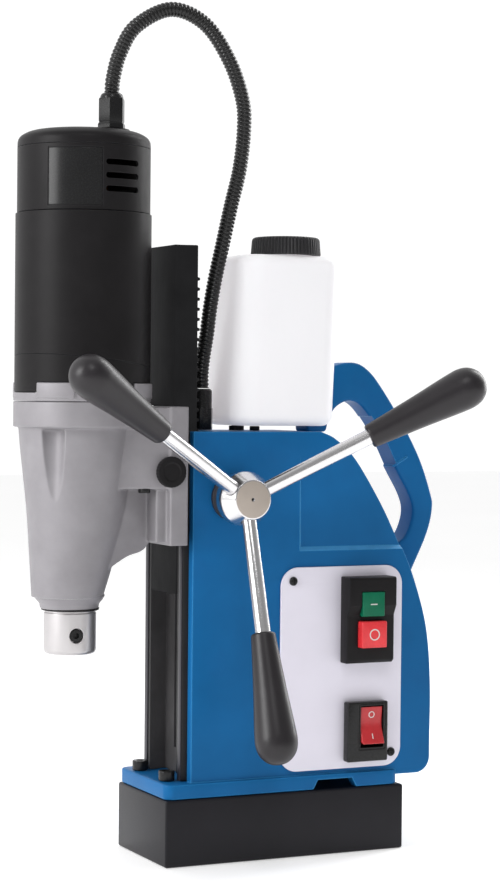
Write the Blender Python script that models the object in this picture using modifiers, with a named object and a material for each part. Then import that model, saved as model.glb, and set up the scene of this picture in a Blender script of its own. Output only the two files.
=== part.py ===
"""A magnetic drill press: an electromagnet base, a hollow blue housing with a carry handle and a
control panel, a dovetail slide with a rack, and on the slide the motor, gearbox and spindle. A
three-spoke capstan drives the rack. Metres, +Z up, origin at the centre of the magnet's face.
X runs from the spindle (-X) to the handle (+X), and the capstan and the panel face -Y."""

import math

import bmesh
import bpy
from mathutils import Matrix, Vector

GAP = 0.0003  # between neighbouring pieces
RUN = 0.0003  # running clearance of shafts and slides
ROUND = 28  # sides of a large round piece
SMALL_ROUND = 16  # sides of a small one

# Electromagnet.
BASE_LENGTH = 0.165
BASE_WIDTH = 0.077
BASE_HEIGHT = 0.041
COIL_OUTER = (0.066, 0.027)  # half sizes of the slot that holds the coil
COIL_CORE = (0.050, 0.011)
COIL_SLOT_TOP = 0.031
POTTING_TOP = 0.0087

# Housing.
HALF_WIDTH = 0.035
WALL = 0.0045
FOOT_TOP = 0.0505
FOOT_FRONT = -0.0822
FOOT_REAR = 0.0795
FOOT_HALF = 0.0380
HOUSING_FRONT = -0.0646
HOUSING_TOP = 0.266
HOUSING_REAR = 0.1035
CHANNEL_BACK = -0.052  # the front pocket that holds the guide column
CAVITY_FRONT = -0.0485
SLOT_HALF = 0.0096  # half width of the slot that the rack and pinion work in

# Guide column and slide.
COLUMN_FRONT = -0.0685
COLUMN_BACK = CHANNEL_BACK - GAP
COLUMN_HALF = 0.0288
SLIDE_FRONT = -0.0688
SLIDE_BACK = -0.0570
SLIDE_FRONT_HALF = 0.0200
SLIDE_BACK_HALF = 0.0230
GIB = 0.0020
SLIDE_BOTTOM = 0.165
SLIDE_TOP = 0.3795
CARRIAGE_BACK = SLIDE_FRONT - GAP

# Feed rack and pinion.
RACK_MODULE = 0.002
PINION_TEETH = 12
PINION_RADIUS = RACK_MODULE * PINION_TEETH / 2
PINION_X = -0.0386
PINION_Z = 0.2255
RACK_PITCH_X = PINION_X - PINION_RADIUS
RACK_HALF = 0.0080
RACK_LOW = 0.191
RACK_HIGH = 0.366

# Capstan.
HUB_FACE = -0.0656
HUB_REAR = -0.0381
SPOKE_ROOT_Y = -0.0556  # where the three spoke axes meet the hub's axis
SPOKE_TILT = math.radians(19.5)
SPOKE_ANGLES = (149, 29, 269)
SPOKE_RADIUS = 0.0047
SPOKE_END = 0.143
GRIP_START = 0.0841
GRIP_END = 0.1629

# Motor, gearbox and spindle.
MOTOR_X = -0.1241
SPINDLE_X = -0.131
MOTOR_RADIUS = 0.0416
BRUSH_CASE_RADIUS = 0.0407
BAND_RADIUS = 0.0421
TAB_RADIUS = 0.0431
SPINDLE_RADIUS = 0.0161
SPINDLE_END = 0.1295
WELDON_RADIUS = 0.00955
WELDON_DEPTH = 0.032
WELDON_SCREW_Z = 0.1416
CASE_TOP = 0.2836
COVER_TOP = 0.2889
TAB_TOP = 0.295
FIELD_CASE_TOP = 0.3978
BRUSH_CASE_TOP = 0.4377
MOTOR_TOP = 0.4490
TAB_ANGLES = (-134, -46, 46, 134)
TAB_HALF_ANGLE = 17

# Gear train: armature pinion, lay gear and lay pinion on one shaft, spindle gear.
FIRST_MODULE = 0.00125
SECOND_MODULE = 0.0015
ARMATURE_TEETH = 8
LAY_TEETH = 26
LAY_PINION_TEETH = 8
SPINDLE_TEETH = 24
FIRST_CENTRES = FIRST_MODULE * (ARMATURE_TEETH + LAY_TEETH) / 2
SECOND_CENTRES = SECOND_MODULE * (LAY_PINION_TEETH + SPINDLE_TEETH) / 2

# Coolant tank and its cap.
TANK_LOW = 0.2695
TANK_HIGH = 0.3765
TANK_HALF_X = 0.0353
TANK_X = 0.0031
TANK_HALF_Y = 0.030
TANK_WALL = 0.002
TANK_LEAN = 0.040  # the tank's ends lean back by this much of their height
CAP_X = 0.011
CAP_Y = -0.006
CAP_RADIUS = 0.0223
CAP_TOP = 0.3886
GROOVE_X = 0.025  # the groove in the tank's back that clears the handle's leg
GROOVE_HALF = 0.0105
GROOVE_TOP = 0.315

# Control panel and switches.
PANEL_BACK = -HALF_WIDTH - GAP
PANEL_FACE = -0.0370
PANEL_X = (-0.005, 0.081)
PANEL_Z = (0.0533, 0.1813)
PANEL_CORNER = 0.012
SWITCH_X = (0.0366, 0.0700)
SWITCH_Z = (0.1205, 0.1750)
BUTTON_X = 0.0533
START_Z = 0.158
STOP_Z = 0.139
ROCKER_X = (0.0394, 0.0680)
ROCKER_Z = (0.0579, 0.0957)
ROCKER_PIVOT = (0.0565, -0.039, 0.080)
ROCKER_REST = math.radians(8)

# Conduit from the motor's top to the housing's top.
CONDUIT_RADIUS = 0.00475
CONDUIT_ROUTE = (
    (-0.1063, 0.0000, 0.4735), (-0.1054, 0.0000, 0.4830), (-0.1010, 0.0000, 0.4985),
    (-0.0905, 0.0000, 0.5155), (-0.0672, 0.0000, 0.5280), (-0.0440, 0.0000, 0.5205),
    (-0.0270, 0.0000, 0.4990), (-0.0176, 0.0000, 0.4750), (-0.0163, 0.0000, 0.4560),
    (-0.0198, -0.0015, 0.4310), (-0.0268, -0.0040, 0.4070), (-0.0334, -0.0060, 0.3820),
    (-0.0372, -0.0045, 0.3625), (-0.0390, -0.0010, 0.3440), (-0.0393, 0.0035, 0.3260),
    (-0.0397, 0.0078, 0.3120), (-0.0397, 0.0100, 0.3020), (-0.0397, 0.0100, 0.2926),
)

MATERIALS = {
    "base_black": ((0.045, 0.045, 0.050), 0.50, 0.0),
    "copper": ((0.60, 0.27, 0.13), 0.40, 1.0),
    "resin": ((0.10, 0.07, 0.05), 0.35, 0.0),
    "blue_paint": ((0.010, 0.125, 0.380), 0.38, 0.0),
    "black_steel": ((0.030, 0.030, 0.033), 0.42, 0.3),
    "bronze": ((0.55, 0.37, 0.16), 0.35, 1.0),
    "steel": ((0.60, 0.60, 0.61), 0.30, 1.0),
    "chrome": ((0.80, 0.80, 0.81), 0.12, 1.0),
    "cast_aluminium": ((0.42, 0.42, 0.43), 0.50, 0.6),
    "black_plastic": ((0.020, 0.020, 0.021), 0.45, 0.0),
    "grip_plastic": ((0.030, 0.028, 0.031), 0.42, 0.0),
    "panel_white": ((0.72, 0.70, 0.74), 0.40, 0.0),
    "green_plastic": ((0.010, 0.180, 0.090), 0.35, 0.0),
    "red_plastic": ((0.620, 0.030, 0.040), 0.30, 0.0),
    "tank_white": ((0.80, 0.78, 0.80), 0.45, 0.0),
    "board_green": ((0.02, 0.20, 0.08), 0.50, 0.0),
    "conduit_black": ((0.020, 0.020, 0.020), 0.50, 0.0),
}


# Scene and helpers ---------------------------------------------------------------------------


def clear_scene():
    for old in list(bpy.data.objects):
        bpy.data.objects.remove(old, do_unlink=True)


def new_collection(name):
    made = bpy.data.collections.new(name)
    bpy.context.scene.collection.children.link(made)
    return made


def material(name):
    made = bpy.data.materials.get(name)
    if made:
        return made
    colour, roughness, metallic = MATERIALS[name]
    made = bpy.data.materials.new(name)
    made.use_nodes = True
    shader = made.node_tree.nodes["Principled BSDF"]
    shader.inputs["Base Color"].default_value = (*colour, 1.0)
    shader.inputs["Roughness"].default_value = roughness
    shader.inputs["Metallic"].default_value = metallic
    return made


def add_object(name, mesh, place=None, finish=None):
    """An object in the parts collection, or a hidden cutter if it has no finish."""
    obj = bpy.data.objects.new(name, mesh)
    if place is not None:
        obj.matrix_world = place
    if finish:
        mesh.materials.append(material(finish))
        PARTS.objects.link(obj)
    else:
        CUTTERS.objects.link(obj)
        obj.hide_render = True
        obj.display_type = "WIRE"
    return obj


def mesh_from(work, name, smooth=False):
    mesh = bpy.data.meshes.new(name)
    work.to_mesh(mesh)
    work.free()
    if smooth:
        mesh.shade_smooth()
        mesh.set_sharp_from_angle(angle=math.radians(35))
    return mesh


def facing(centre, direction):
    """A placing whose local +Z points along direction."""
    turn = Vector(direction).to_track_quat("Z", "Y").to_matrix().to_4x4()
    return Matrix.Translation(centre) @ turn


def box(name, low, high, finish=None):
    low, high = Vector(low), Vector(high)
    work = bmesh.new()
    bmesh.ops.create_cube(work, size=1.0)
    bmesh.ops.scale(work, vec=high - low, verts=work.verts)
    return add_object(name, mesh_from(work, name), Matrix.Translation((low + high) / 2), finish)


def cylinder(name, radius, start, end, finish=None, sides=SMALL_ROUND, end_radius=None):
    """A cylinder, or a cone if end_radius is given, between two points."""
    start, end = Vector(start), Vector(end)
    top = radius if end_radius is None else end_radius
    work = bmesh.new()
    bmesh.ops.create_cone(
        work, cap_ends=True, segments=sides, radius1=radius, radius2=top, depth=(end - start).length
    )
    place = facing((start + end) / 2, end - start)
    return add_object(name, mesh_from(work, name, smooth=True), place, finish)


def turned(name, profile, base, direction, finish=None, steps=ROUND, closed=False):
    """A profile of (radius, height), listed down its outer side, turned about direction."""
    mesh = bpy.data.meshes.new(name)
    count = len(profile)
    edges = [(i, i + 1) for i in range(count - 1)]
    if closed:
        edges.append((count - 1, 0))
    mesh.from_pydata([(radius, 0.0, height) for radius, height in profile], edges, [])
    obj = add_object(name, mesh, facing(base, direction), finish)
    screw = obj.modifiers.new("turn", "SCREW")
    screw.axis = "Z"
    screw.angle = math.tau
    screw.steps = steps
    screw.render_steps = steps
    screw.use_merge_vertices = True
    screw.merge_threshold = 0.00001
    screw.use_smooth_shade = True
    return obj


PLANES = {
    "XY": Matrix.Identity(4),
    "XZ": Matrix.Rotation(math.pi / 2, 4, "X"),
    "YZ": Matrix.Rotation(math.pi / 2, 4, "Z") @ Matrix.Rotation(math.pi / 2, 4, "X"),
}
NORMALS = {"XY": Vector((0, 0, 1)), "XZ": Vector((0, 1, 0)), "YZ": Vector((1, 0, 0))}


def plate(name, outlines, plane, low, high, finish=None):
    """A flat outline, with any further outlines as holes, extruded along the plane's normal."""
    curve = bpy.data.curves.new(name, "CURVE")
    curve.dimensions = "2D"
    curve.fill_mode = "BOTH"
    curve.extrude = (high - low) / 2
    for outline in outlines:
        spline = curve.splines.new("POLY")
        spline.points.add(len(outline) - 1)
        for point, (across, up) in zip(spline.points, outline):
            point.co = (across, up, 0.0, 1.0)
        spline.use_cyclic_u = True
    flat = bpy.data.objects.new(name, curve)
    bpy.context.scene.collection.objects.link(flat)
    place = Matrix.Translation(NORMALS[plane] * (low + high) / 2) @ PLANES[plane]
    mesh = as_mesh(flat)
    return add_object(name, mesh, place, finish)


def as_mesh(curve_object):
    """The curve's solid as a welded mesh. The curve is removed."""
    graph = bpy.context.evaluated_depsgraph_get()
    graph.update()
    mesh = bpy.data.meshes.new_from_object(curve_object.evaluated_get(graph))
    name = curve_object.name
    bpy.data.objects.remove(curve_object, do_unlink=True)
    mesh.name = name
    work = bmesh.new()
    work.from_mesh(mesh)
    bmesh.ops.remove_doubles(work, verts=work.verts, dist=0.000001)
    bmesh.ops.recalc_face_normals(work, faces=work.faces)
    work.to_mesh(mesh)
    work.free()
    return mesh


def tube(name, points, radius, finish):
    curve = bpy.data.curves.new(name, "CURVE")
    curve.dimensions = "3D"
    curve.bevel_depth = radius
    curve.bevel_resolution = 2
    curve.use_fill_caps = True
    curve.materials.append(material(finish))
    spline = curve.splines.new("POLY")
    spline.points.add(len(points) - 1)
    for target, point in zip(spline.points, points):
        target.co = (*point, 1.0)
    obj = bpy.data.objects.new(name, curve)
    PARTS.objects.link(obj)
    return obj


def combine(target, tool, operation):
    modifier = target.modifiers.new(tool.name, "BOOLEAN")
    modifier.operation = operation
    modifier.object = tool
    modifier.solver = "EXACT"
    return target


def cut(target, *tools):
    for tool in tools:
        combine(target, tool, "DIFFERENCE")
    return target


def join(target, *tools):
    for tool in tools:
        combine(target, tool, "UNION")
    return target


def bevel(obj, width, segments=2, angle=40):
    modifier = obj.modifiers.new("bevel", "BEVEL")
    modifier.width = width
    modifier.segments = segments
    modifier.limit_method = "ANGLE"
    modifier.angle_limit = math.radians(angle)
    return obj


def arc(centre, radius, start, end, count):
    """Points on an arc, with its angles in degrees."""
    angles = [math.radians(start + (end - start) * i / (count - 1)) for i in range(count)]
    return [(centre[0] + radius * math.cos(a), centre[1] + radius * math.sin(a)) for a in angles]


def rounded_rectangle(low, high, radius, count=4):
    left, bottom = low[0] + radius, low[1] + radius
    right, top = high[0] - radius, high[1] - radius
    return (
        arc((right, bottom), radius, -90, 0, count)
        + arc((right, top), radius, 0, 90, count)
        + arc((left, top), radius, 90, 180, count)
        + arc((left, bottom), radius, 180, 270, count)
    )


def centred_rectangle(half, radius, count=4):
    return rounded_rectangle((-half[0], -half[1]), half, radius, count)


def smooth(route, each):
    """Points on a Catmull-Rom curve through route, each of them per stretch."""
    route = [Vector(point) for point in route]
    ends = [2 * route[0] - route[1], *route, 2 * route[-1] - route[-2]]
    points = []
    for a, b, c, d in zip(ends, ends[1:], ends[2:], ends[3:]):
        for i in range(each):
            t = i / each
            points.append(
                0.5 * (2 * b + (c - a) * t + (2 * a - 5 * b + 4 * c - d) * t**2
                       + (3 * b - a - 3 * c + d) * t**3)
            )
    return [tuple(point) for point in points] + [tuple(route[-1])]


def gear_outline(teeth, module, phase, thin=0.80):
    """A gear's outline. Its teeth are a little thin, so that they run with play."""
    root = module * (teeth / 2 - 1.2)
    tip = module * (teeth / 2 + 0.85)
    at_root = math.tau / teeth * 0.33 * thin
    at_tip = math.tau / teeth * 0.155 * thin
    points = []
    for tooth in range(teeth):
        middle = phase + math.tau * tooth / teeth
        for radius, turn in ((root, -at_root), (tip, -at_tip), (tip, at_tip), (root, at_root)):
            angle = middle + turn
            points.append((radius * math.cos(angle), radius * math.sin(angle)))
    return points


def moved(outline, centre):
    return [(x + centre[0], y + centre[1]) for x, y in outline]


def around_motor(radius, degrees):
    angle = math.radians(degrees)
    return MOTOR_X + radius * math.cos(angle), radius * math.sin(angle)


def lay_centre():
    """The lay shaft stands where both centre distances are met, on the far side."""
    between = MOTOR_X - SPINDLE_X
    along = (SECOND_CENTRES**2 - FIRST_CENTRES**2 + between**2) / (2 * between)
    across = math.sqrt(SECOND_CENTRES**2 - along**2)
    return SPINDLE_X + along, across


def carried_by(name, place, children):
    """An empty on a joint's axis, with the pieces that move about it."""
    holder = bpy.data.objects.new(name, None)
    holder.location = place
    holder.empty_display_size = 0.02
    PARTS.objects.link(holder)
    for child in children:
        child.parent = holder
        child.matrix_parent_inverse = Matrix.Translation(place).inverted()
    return holder


# Electromagnet -------------------------------------------------------------------------------


def magnet_body():
    half = Vector((BASE_LENGTH / 2, BASE_WIDTH / 2, 0))
    body = box("magnet_body", -half, half + Vector((0, 0, BASE_HEIGHT)), "base_black")
    bevel(body, 0.0016)
    slot = [centred_rectangle(COIL_OUTER, 0.008), centred_rectangle(COIL_CORE, 0.004)]
    cut(body, plate("cut_coil_slot", slot, "XY", -0.001, COIL_SLOT_TOP))
    for index, y in enumerate(FOOT_SCREW_Y):
        top, bottom = (FOOT_SCREW_X, y, 0.045), (FOOT_SCREW_X, y, 0.026)
        cut(body, cylinder(f"cut_magnet_thread_{index}", 0.0033, bottom, top, sides=12))
    return body


FOOT_SCREW_X = -0.0747
FOOT_SCREW_Y = (-0.021, 0.021)


def ring_in_slot(name, low, high, finish):
    outer = tuple(half - GAP for half in COIL_OUTER)
    core = tuple(half + GAP for half in COIL_CORE)
    outlines = [centred_rectangle(outer, 0.0077), centred_rectangle(core, 0.0043)]
    return plate(name, outlines, "XY", low, high, finish)


def foot_screw(index, y):
    profile = [
        (0.0, 0.0064), (0.0046, 0.0064), (0.0050, 0.0060), (0.0050, 0.0003), (0.0030, 0.0003),
        (0.0030, -0.0235), (0.0, -0.0235),
    ]
    screw = turned(
        f"foot_screw_{index}", profile, (FOOT_SCREW_X, y, FOOT_TOP), (0, 0, 1), "black_steel",
        steps=12,
    )
    socket_low, socket_high = (FOOT_SCREW_X, y, 0.0530), (FOOT_SCREW_X, y, 0.0600)
    return cut(screw, cylinder(f"cut_hex_{index}", 0.0029, socket_low, socket_high, sides=6))


# Housing -------------------------------------------------------------------------------------


REAR_ROUTE = (
    (0.0230, 0.2660), (0.0335, 0.2612), (0.0475, 0.2485), (0.0665, 0.2205), (0.0790, 0.1975),
    (0.0900, 0.1740), (0.1000, 0.1410), (HOUSING_REAR, 0.1050), (HOUSING_REAR, 0.0640),
)


def housing_outline(inset=0.0):
    """The side view: upright front, level top, sloping back and an overhanging heel."""
    rear = [(x - inset, z - inset * 0.45) for x, z in smooth(REAR_ROUTE, 2)]
    rear[0] = (rear[0][0], HOUSING_TOP - inset)
    heel = arc((HOUSING_REAR - inset - 0.010, 0.057 + inset), 0.010, 0, -90, 5)
    return rear + heel


def main_housing():
    outline = [(HOUSING_FRONT, HOUSING_TOP)] + housing_outline()
    outline += [(0.070, 0.0470), (0.070, FOOT_TOP - 0.004), (HOUSING_FRONT, FOOT_TOP - 0.004)]
    body = plate("main_housing", [outline], "XZ", -HALF_WIDTH, HALF_WIDTH, "blue_paint")
    bevel(body, 0.0042, 3, 50)
    join(body, housing_foot())
    cut(body, housing_cavity(), *front_cuts(), *side_cuts(), *small_openings())
    return body


def housing_foot():
    outline = rounded_rectangle((FOOT_FRONT, -FOOT_HALF), (FOOT_REAR, FOOT_HALF), 0.006)
    foot = plate("join_foot", [outline], "XY", BASE_HEIGHT + GAP, FOOT_TOP)
    return bevel(foot, 0.0012, 1, 50)


def housing_cavity():
    rear = housing_outline(0.0055)
    low = rear[-1][1]
    front = [(CAVITY_FRONT, rear[0][1])]
    bottom = [(0.070, low), (0.070, 0.030), (CAVITY_FRONT, 0.030)]
    inner = HALF_WIDTH - WALL
    return plate("cut_cavity", [front + rear + bottom], "XZ", -inner, inner)


def front_cuts():
    """The pocket for the guide column, and the slot through which rack and pinion meet."""
    half = COLUMN_HALF + GAP
    pocket = box("cut_column_pocket", (-0.090, -half, FOOT_TOP), (CHANNEL_BACK, half, 0.280))
    slot = box("cut_rack_slot", (-0.060, -SLOT_HALF, 0.062), (-0.0460, SLOT_HALF, 0.290))
    return pocket, slot


def side_cuts():
    """Shallow pressed fields on both sides, the strap slot, and the openings behind the panel."""
    fields = []
    for side, name in ((-1, "near"), (1, "far")):
        wedge = [(0.0338, 0.1922), (0.0352, 0.2500), (0.0500, 0.2500), (0.0500, 0.1922)]
        wedge = [(side * y, z) for y, z in wedge]
        fields.append(plate(f"cut_field_{name}", [wedge], "YZ", 0.0102, 0.1200))
    near, far = fields
    strap_outline = [(0.0175, 0.040), (0.050, 0.040), (0.0457, 0.0474), (0.0215, 0.0474)]
    strap = plate("cut_strap_slot", [strap_outline], "XZ", -0.045, 0.045)
    switch = box("cut_switch_opening", (0.0400, -0.038, 0.1240), (0.0672, -0.028, 0.1712))
    rocker = box("cut_rocker_opening", (0.0434, -0.038, 0.0620), (0.0671, -0.028, 0.0946))
    return near, far, strap, switch, rocker


def small_openings():
    openings = []
    for index, y in enumerate(FOOT_SCREW_Y):
        low, high = (FOOT_SCREW_X, y, 0.039), (FOOT_SCREW_X, y, 0.054)
        openings.append(cylinder(f"cut_foot_hole_{index}", 0.0034, low, high, sides=12))
    for side, name in ((-1, "near"), (1, "far")):
        start, end = (PINION_X, side * 0.028, PINION_Z), (PINION_X, side * 0.040, PINION_Z)
        openings.append(cylinder(f"cut_bush_{name}", BUSH_RADIUS + GAP, start, end, sides=24))
    for index, (x, z) in enumerate(PANEL_SCREWS):
        start, end = (x, -0.028, z), (x, -0.038, z)
        openings.append(cylinder(f"cut_panel_thread_{index}", 0.0020, start, end, sides=10))
    low, high = (GLAND_X, GLAND_Y, 0.255), (GLAND_X, GLAND_Y, 0.275)
    openings.append(cylinder("cut_conduit_hole", 0.0046, low, high, sides=14))
    start, end = (0.090, MAINS_Y, MAINS_Z), (0.110, MAINS_Y, MAINS_Z)
    openings.append(cylinder("cut_mains_hole", 0.0063, start, end, sides=14))
    return openings


BUSH_RADIUS = 0.0110
GLAND_X, GLAND_Y = -0.0397, 0.0100
MAINS_Y, MAINS_Z = 0.012, 0.080
PANEL_SCREWS = ((0.0032, 0.1728), (0.0738, 0.0620))


def pinion_bush(name, side):
    """A flanged bronze bush in one side wall."""
    inner, flange = 0.0080 + RUN, 0.0142
    profile = [
        (flange, 0.0375), (flange, HALF_WIDTH + GAP), (BUSH_RADIUS, HALF_WIDTH + GAP),
        (BUSH_RADIUS, 0.0295), (inner, 0.0295), (inner, 0.0375),
    ]
    return turned(
        name, profile, (PINION_X, 0, PINION_Z), (0, side, 0), "bronze", steps=24, closed=True
    )


def carry_handle():
    """A cast grip bar from the housing's top, up behind the tank and down to its sloping back."""
    outer = smooth(
        ((0.0262, 0.2655), (0.0264, 0.2850), (0.0335, 0.3010), (0.0480, 0.3085),
         (0.0607, 0.3100), (0.0702, 0.3055), (0.0795, 0.2955), (0.0950, 0.2732),
         (0.1090, 0.2488), (0.1176, 0.2265), (0.1195, 0.2155), (0.1152, 0.1985),
         (0.1035, 0.1740)), 2)
    inner = smooth(
        ((0.0780, 0.1880), (0.0930, 0.1930), (0.1005, 0.2000), (0.1045, 0.2130),
         (0.1015, 0.2245), (0.0915, 0.2415), (0.0797, 0.2636), (0.0672, 0.2806),
         (0.0576, 0.2855), (0.0480, 0.2820), (0.0425, 0.2745), (0.0400, 0.2655)), 2)
    lower_end = [(0.0930, 0.1600)]
    handle = plate("carry_handle", [outer + lower_end + inner], "XZ", -0.009, 0.009, "blue_paint")
    bevel(handle, 0.0060, 3, 50)
    return cut(handle, handle_seat())


def handle_seat():
    """The housing's own shape, grown by a gap, so that the handle's ends lie flush on it."""
    rear = [(x + GAP * 1.4, z + GAP) for x, z in housing_outline()]
    outline = [(HOUSING_FRONT, HOUSING_TOP + GAP)] + rear + [(0.060, 0.047), (HOUSING_FRONT, 0.047)]
    return plate("cut_handle_seat", [outline], "XZ", -0.030, 0.030)


# Guide column, gib and slide -----------------------------------------------------------------


def slide_section(grow_near=0.0, grow_far=0.0, back=0.0, front=0.0):
    """The slide's dovetail in plan, wider at its back, grown for the channel it runs in."""
    front_x, back_x = SLIDE_FRONT - front, SLIDE_BACK + back
    slope = (SLIDE_BACK_HALF - SLIDE_FRONT_HALF) / (SLIDE_BACK - SLIDE_FRONT)
    at_front = SLIDE_FRONT_HALF - slope * front
    at_back = SLIDE_BACK_HALF + slope * back
    return [
        (front_x, -at_front - grow_near), (back_x, -at_back - grow_near),
        (back_x, at_back + grow_far), (front_x, at_front + grow_far),
    ]


def guide_column():
    low, high = FOOT_TOP + GAP, HOUSING_TOP
    column = box(
        "guide_column", (COLUMN_FRONT, -COLUMN_HALF, low), (COLUMN_BACK, COLUMN_HALF, high),
        "black_steel",
    )
    bevel(column, 0.0008, 1)
    section = slide_section(GIB + 2 * RUN, RUN, RUN, 0.004)
    channel = plate("cut_channel", [section], "XY", 0.040, 0.280)
    window = box("cut_window", (-0.061, -SLOT_HALF, 0.066), (-0.045, SLOT_HALF, 0.290))
    return cut(column, channel, window)


def gib_strip():
    """The adjustable strip between the slide and the column's near jaw."""
    slope = (SLIDE_BACK_HALF - SLIDE_FRONT_HALF) / (SLIDE_BACK - SLIDE_FRONT)
    inner_front, inner_back = SLIDE_FRONT_HALF + RUN, SLIDE_BACK_HALF + RUN
    front_x, back_x = SLIDE_FRONT + 0.0004, SLIDE_BACK
    inner_front += slope * (front_x - SLIDE_FRONT)
    outline = [
        (front_x, -inner_front - GIB), (back_x, -inner_back - GIB),
        (back_x, -inner_back), (front_x, -inner_front),
    ]
    return plate("gib_strip", [outline], "XY", FOOT_TOP + 0.004, HOUSING_TOP - 0.002, "bronze")


def slide_rail():
    rail = plate("slide_rail", [slide_section()], "XY", SLIDE_BOTTOM, SLIDE_TOP, "black_steel")
    return bevel(rail, 0.0008, 1)


def feed_rack():
    """A toothed bar on the slide's back, meshing with the pinion."""
    pitch = math.pi * RACK_MODULE
    back, root = SLIDE_BACK + GAP, RACK_PITCH_X - 1.25 * RACK_MODULE
    tip = RACK_PITCH_X + 0.70 * RACK_MODULE
    outline = [(back, RACK_HIGH), (back, RACK_LOW)]
    first = math.ceil((RACK_LOW - PINION_Z) / pitch)
    last = math.floor((RACK_HIGH - PINION_Z) / pitch)
    outline.append((root, RACK_LOW))
    for space in range(first, last):
        middle = PINION_Z + (space + 0.5) * pitch
        outline += [
            (root, middle - 0.29 * pitch), (tip, middle - 0.12 * pitch),
            (tip, middle + 0.12 * pitch), (root, middle + 0.29 * pitch),
        ]
    outline.append((root, RACK_HIGH))
    return plate("feed_rack", [outline], "XZ", -RACK_HALF, RACK_HALF, "steel")


# Gearbox -------------------------------------------------------------------------------------


NOSE_LOW = 0.1573
CASTING_RINGS = (
    (NOSE_LOW, -0.1313, 0.0186), (0.1605, -0.1326, 0.0212), (0.1640, -0.1330, 0.0219),
    (0.1860, -0.1304, 0.0257), (0.2190, -0.1276, 0.0306), (0.2564, -0.1276, 0.0347),
    (0.2720, -0.1272, 0.0362),
)


def lofted(name, rings, finish=None):
    """A body through level rings, each given as its height, its centre's X and its radius."""
    work = bmesh.new()
    levels = []
    for height, centre, radius in rings:
        level = []
        for i in range(ROUND):
            angle = math.tau * i / ROUND
            x, y = centre + radius * math.cos(angle), radius * math.sin(angle)
            level.append(work.verts.new((x, y, height)))
        levels.append(level)
    for low, high in zip(levels, levels[1:]):
        for i in range(ROUND):
            j = (i + 1) % ROUND
            work.faces.new((low[i], low[j], high[j], high[i]))
    work.faces.new(levels[0][::-1])
    work.faces.new(levels[-1])
    return add_object(name, mesh_from(work, name, True), None, finish)


def gearbox_housing():
    casting = lofted("gearbox_housing", CASTING_RINGS, "cast_aluminium")
    axis_low, axis_high = (MOTOR_X, 0, 0.2680), (MOTOR_X, 0, CASE_TOP)
    band = cylinder("join_band", BAND_RADIUS, axis_low, axis_high, sides=ROUND)
    join(casting, band, *bracket())
    return cut(casting, *gearbox_hollows(), *screw_pockets(), knob_hole())


def bracket():
    """The arm that carries the gearbox on the slide: a rear block, an upper block and a web."""
    rear = box("join_rear_block", (-0.0810, -0.0378, 0.1965), (CARRIAGE_BACK, 0.0378, 0.2812))
    bevel(rear, 0.0010, 2)
    near_side = [(-0.1240, -0.0240), (-0.0805, -0.0366), (-0.0760, -0.0366)]
    far_side = [(x, -y) for x, y in reversed(near_side)]
    upper = plate("join_upper_block", [near_side + far_side], "XY", 0.2310, 0.2806)
    web_outline = [(-0.1180, 0.1780)] + smooth(
        ((-0.1080, 0.1850), (-0.1000, 0.1895), (-0.0910, 0.1925), (-0.0860, 0.1980)), 2
    ) + [(-0.0760, 0.2000), (-0.0760, 0.2400), (-0.1180, 0.2400)]
    web = plate("join_web", [web_outline], "XZ", -0.018, 0.018)
    return rear, upper, web


def gearbox_hollows():
    lay_x, lay_y = lay_centre()
    bore = turned(
        "cut_spindle_bore",
        [(0.0, 0.260), (0.0168, 0.260), (0.0168, 0.2455), (0.0130, 0.2455), (0.0130, 0.1785),
         (0.0168, 0.1785), (0.0168, 0.150), (0.0, 0.150)],
        (SPINDLE_X, 0, 0), (0, 0, 1),
    )
    low, high = 0.2588, 0.300
    gear_room = cylinder("cut_gear_room", 0.0212, (SPINDLE_X, 0, low), (SPINDLE_X, 0, high),
                         sides=ROUND)
    pinion_room = cylinder("cut_lay_pinion_room", 0.0092, (lay_x, lay_y, low), (lay_x, lay_y, high),
                           sides=20)
    case_room = cylinder("cut_case_room", 0.0330, (MOTOR_X, 0, 0.2757), (MOTOR_X, 0, high),
                         sides=ROUND)
    lay_room = cylinder("cut_lay_room", 0.0189, (lay_x, lay_y, 0.2757), (lay_x, lay_y, high),
                        sides=ROUND)
    seat = cylinder("cut_lay_seat", 0.0043, (lay_x, lay_y, 0.2520), (lay_x, lay_y, 0.2650), sides=14)
    return bore, gear_room, pinion_room, case_room, lay_room, seat


def screw_pockets():
    """Upright pockets in the cone's front, below the case screws; they run out as vees."""
    pockets = []
    for angle in (-134, 134):
        x, y = around_motor(0.0406, angle)
        pockets.append(
            cylinder(f"cut_screw_pocket_{angle}", 0.0084, (x, y, 0.190), (x, y, 0.2678), sides=18)
        )
    return pockets


KNOB_X, KNOB_Z = -0.0818, 0.2416
KNOB_BACK = -0.0381


def knob_hole():
    start, end = (KNOB_X, -0.040, KNOB_Z), (KNOB_X, -0.022, KNOB_Z)
    return cylinder("cut_knob_hole", 0.0034, start, end, sides=12)


def tab_outline(angle, inner, outer, grow=0.0):
    low, high = angle - TAB_HALF_ANGLE - grow, angle + TAB_HALF_ANGLE + grow
    centre = (MOTOR_X, 0.0)
    return arc(centre, outer, low, high, 5) + arc(centre, inner, high, low, 5)


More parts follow.
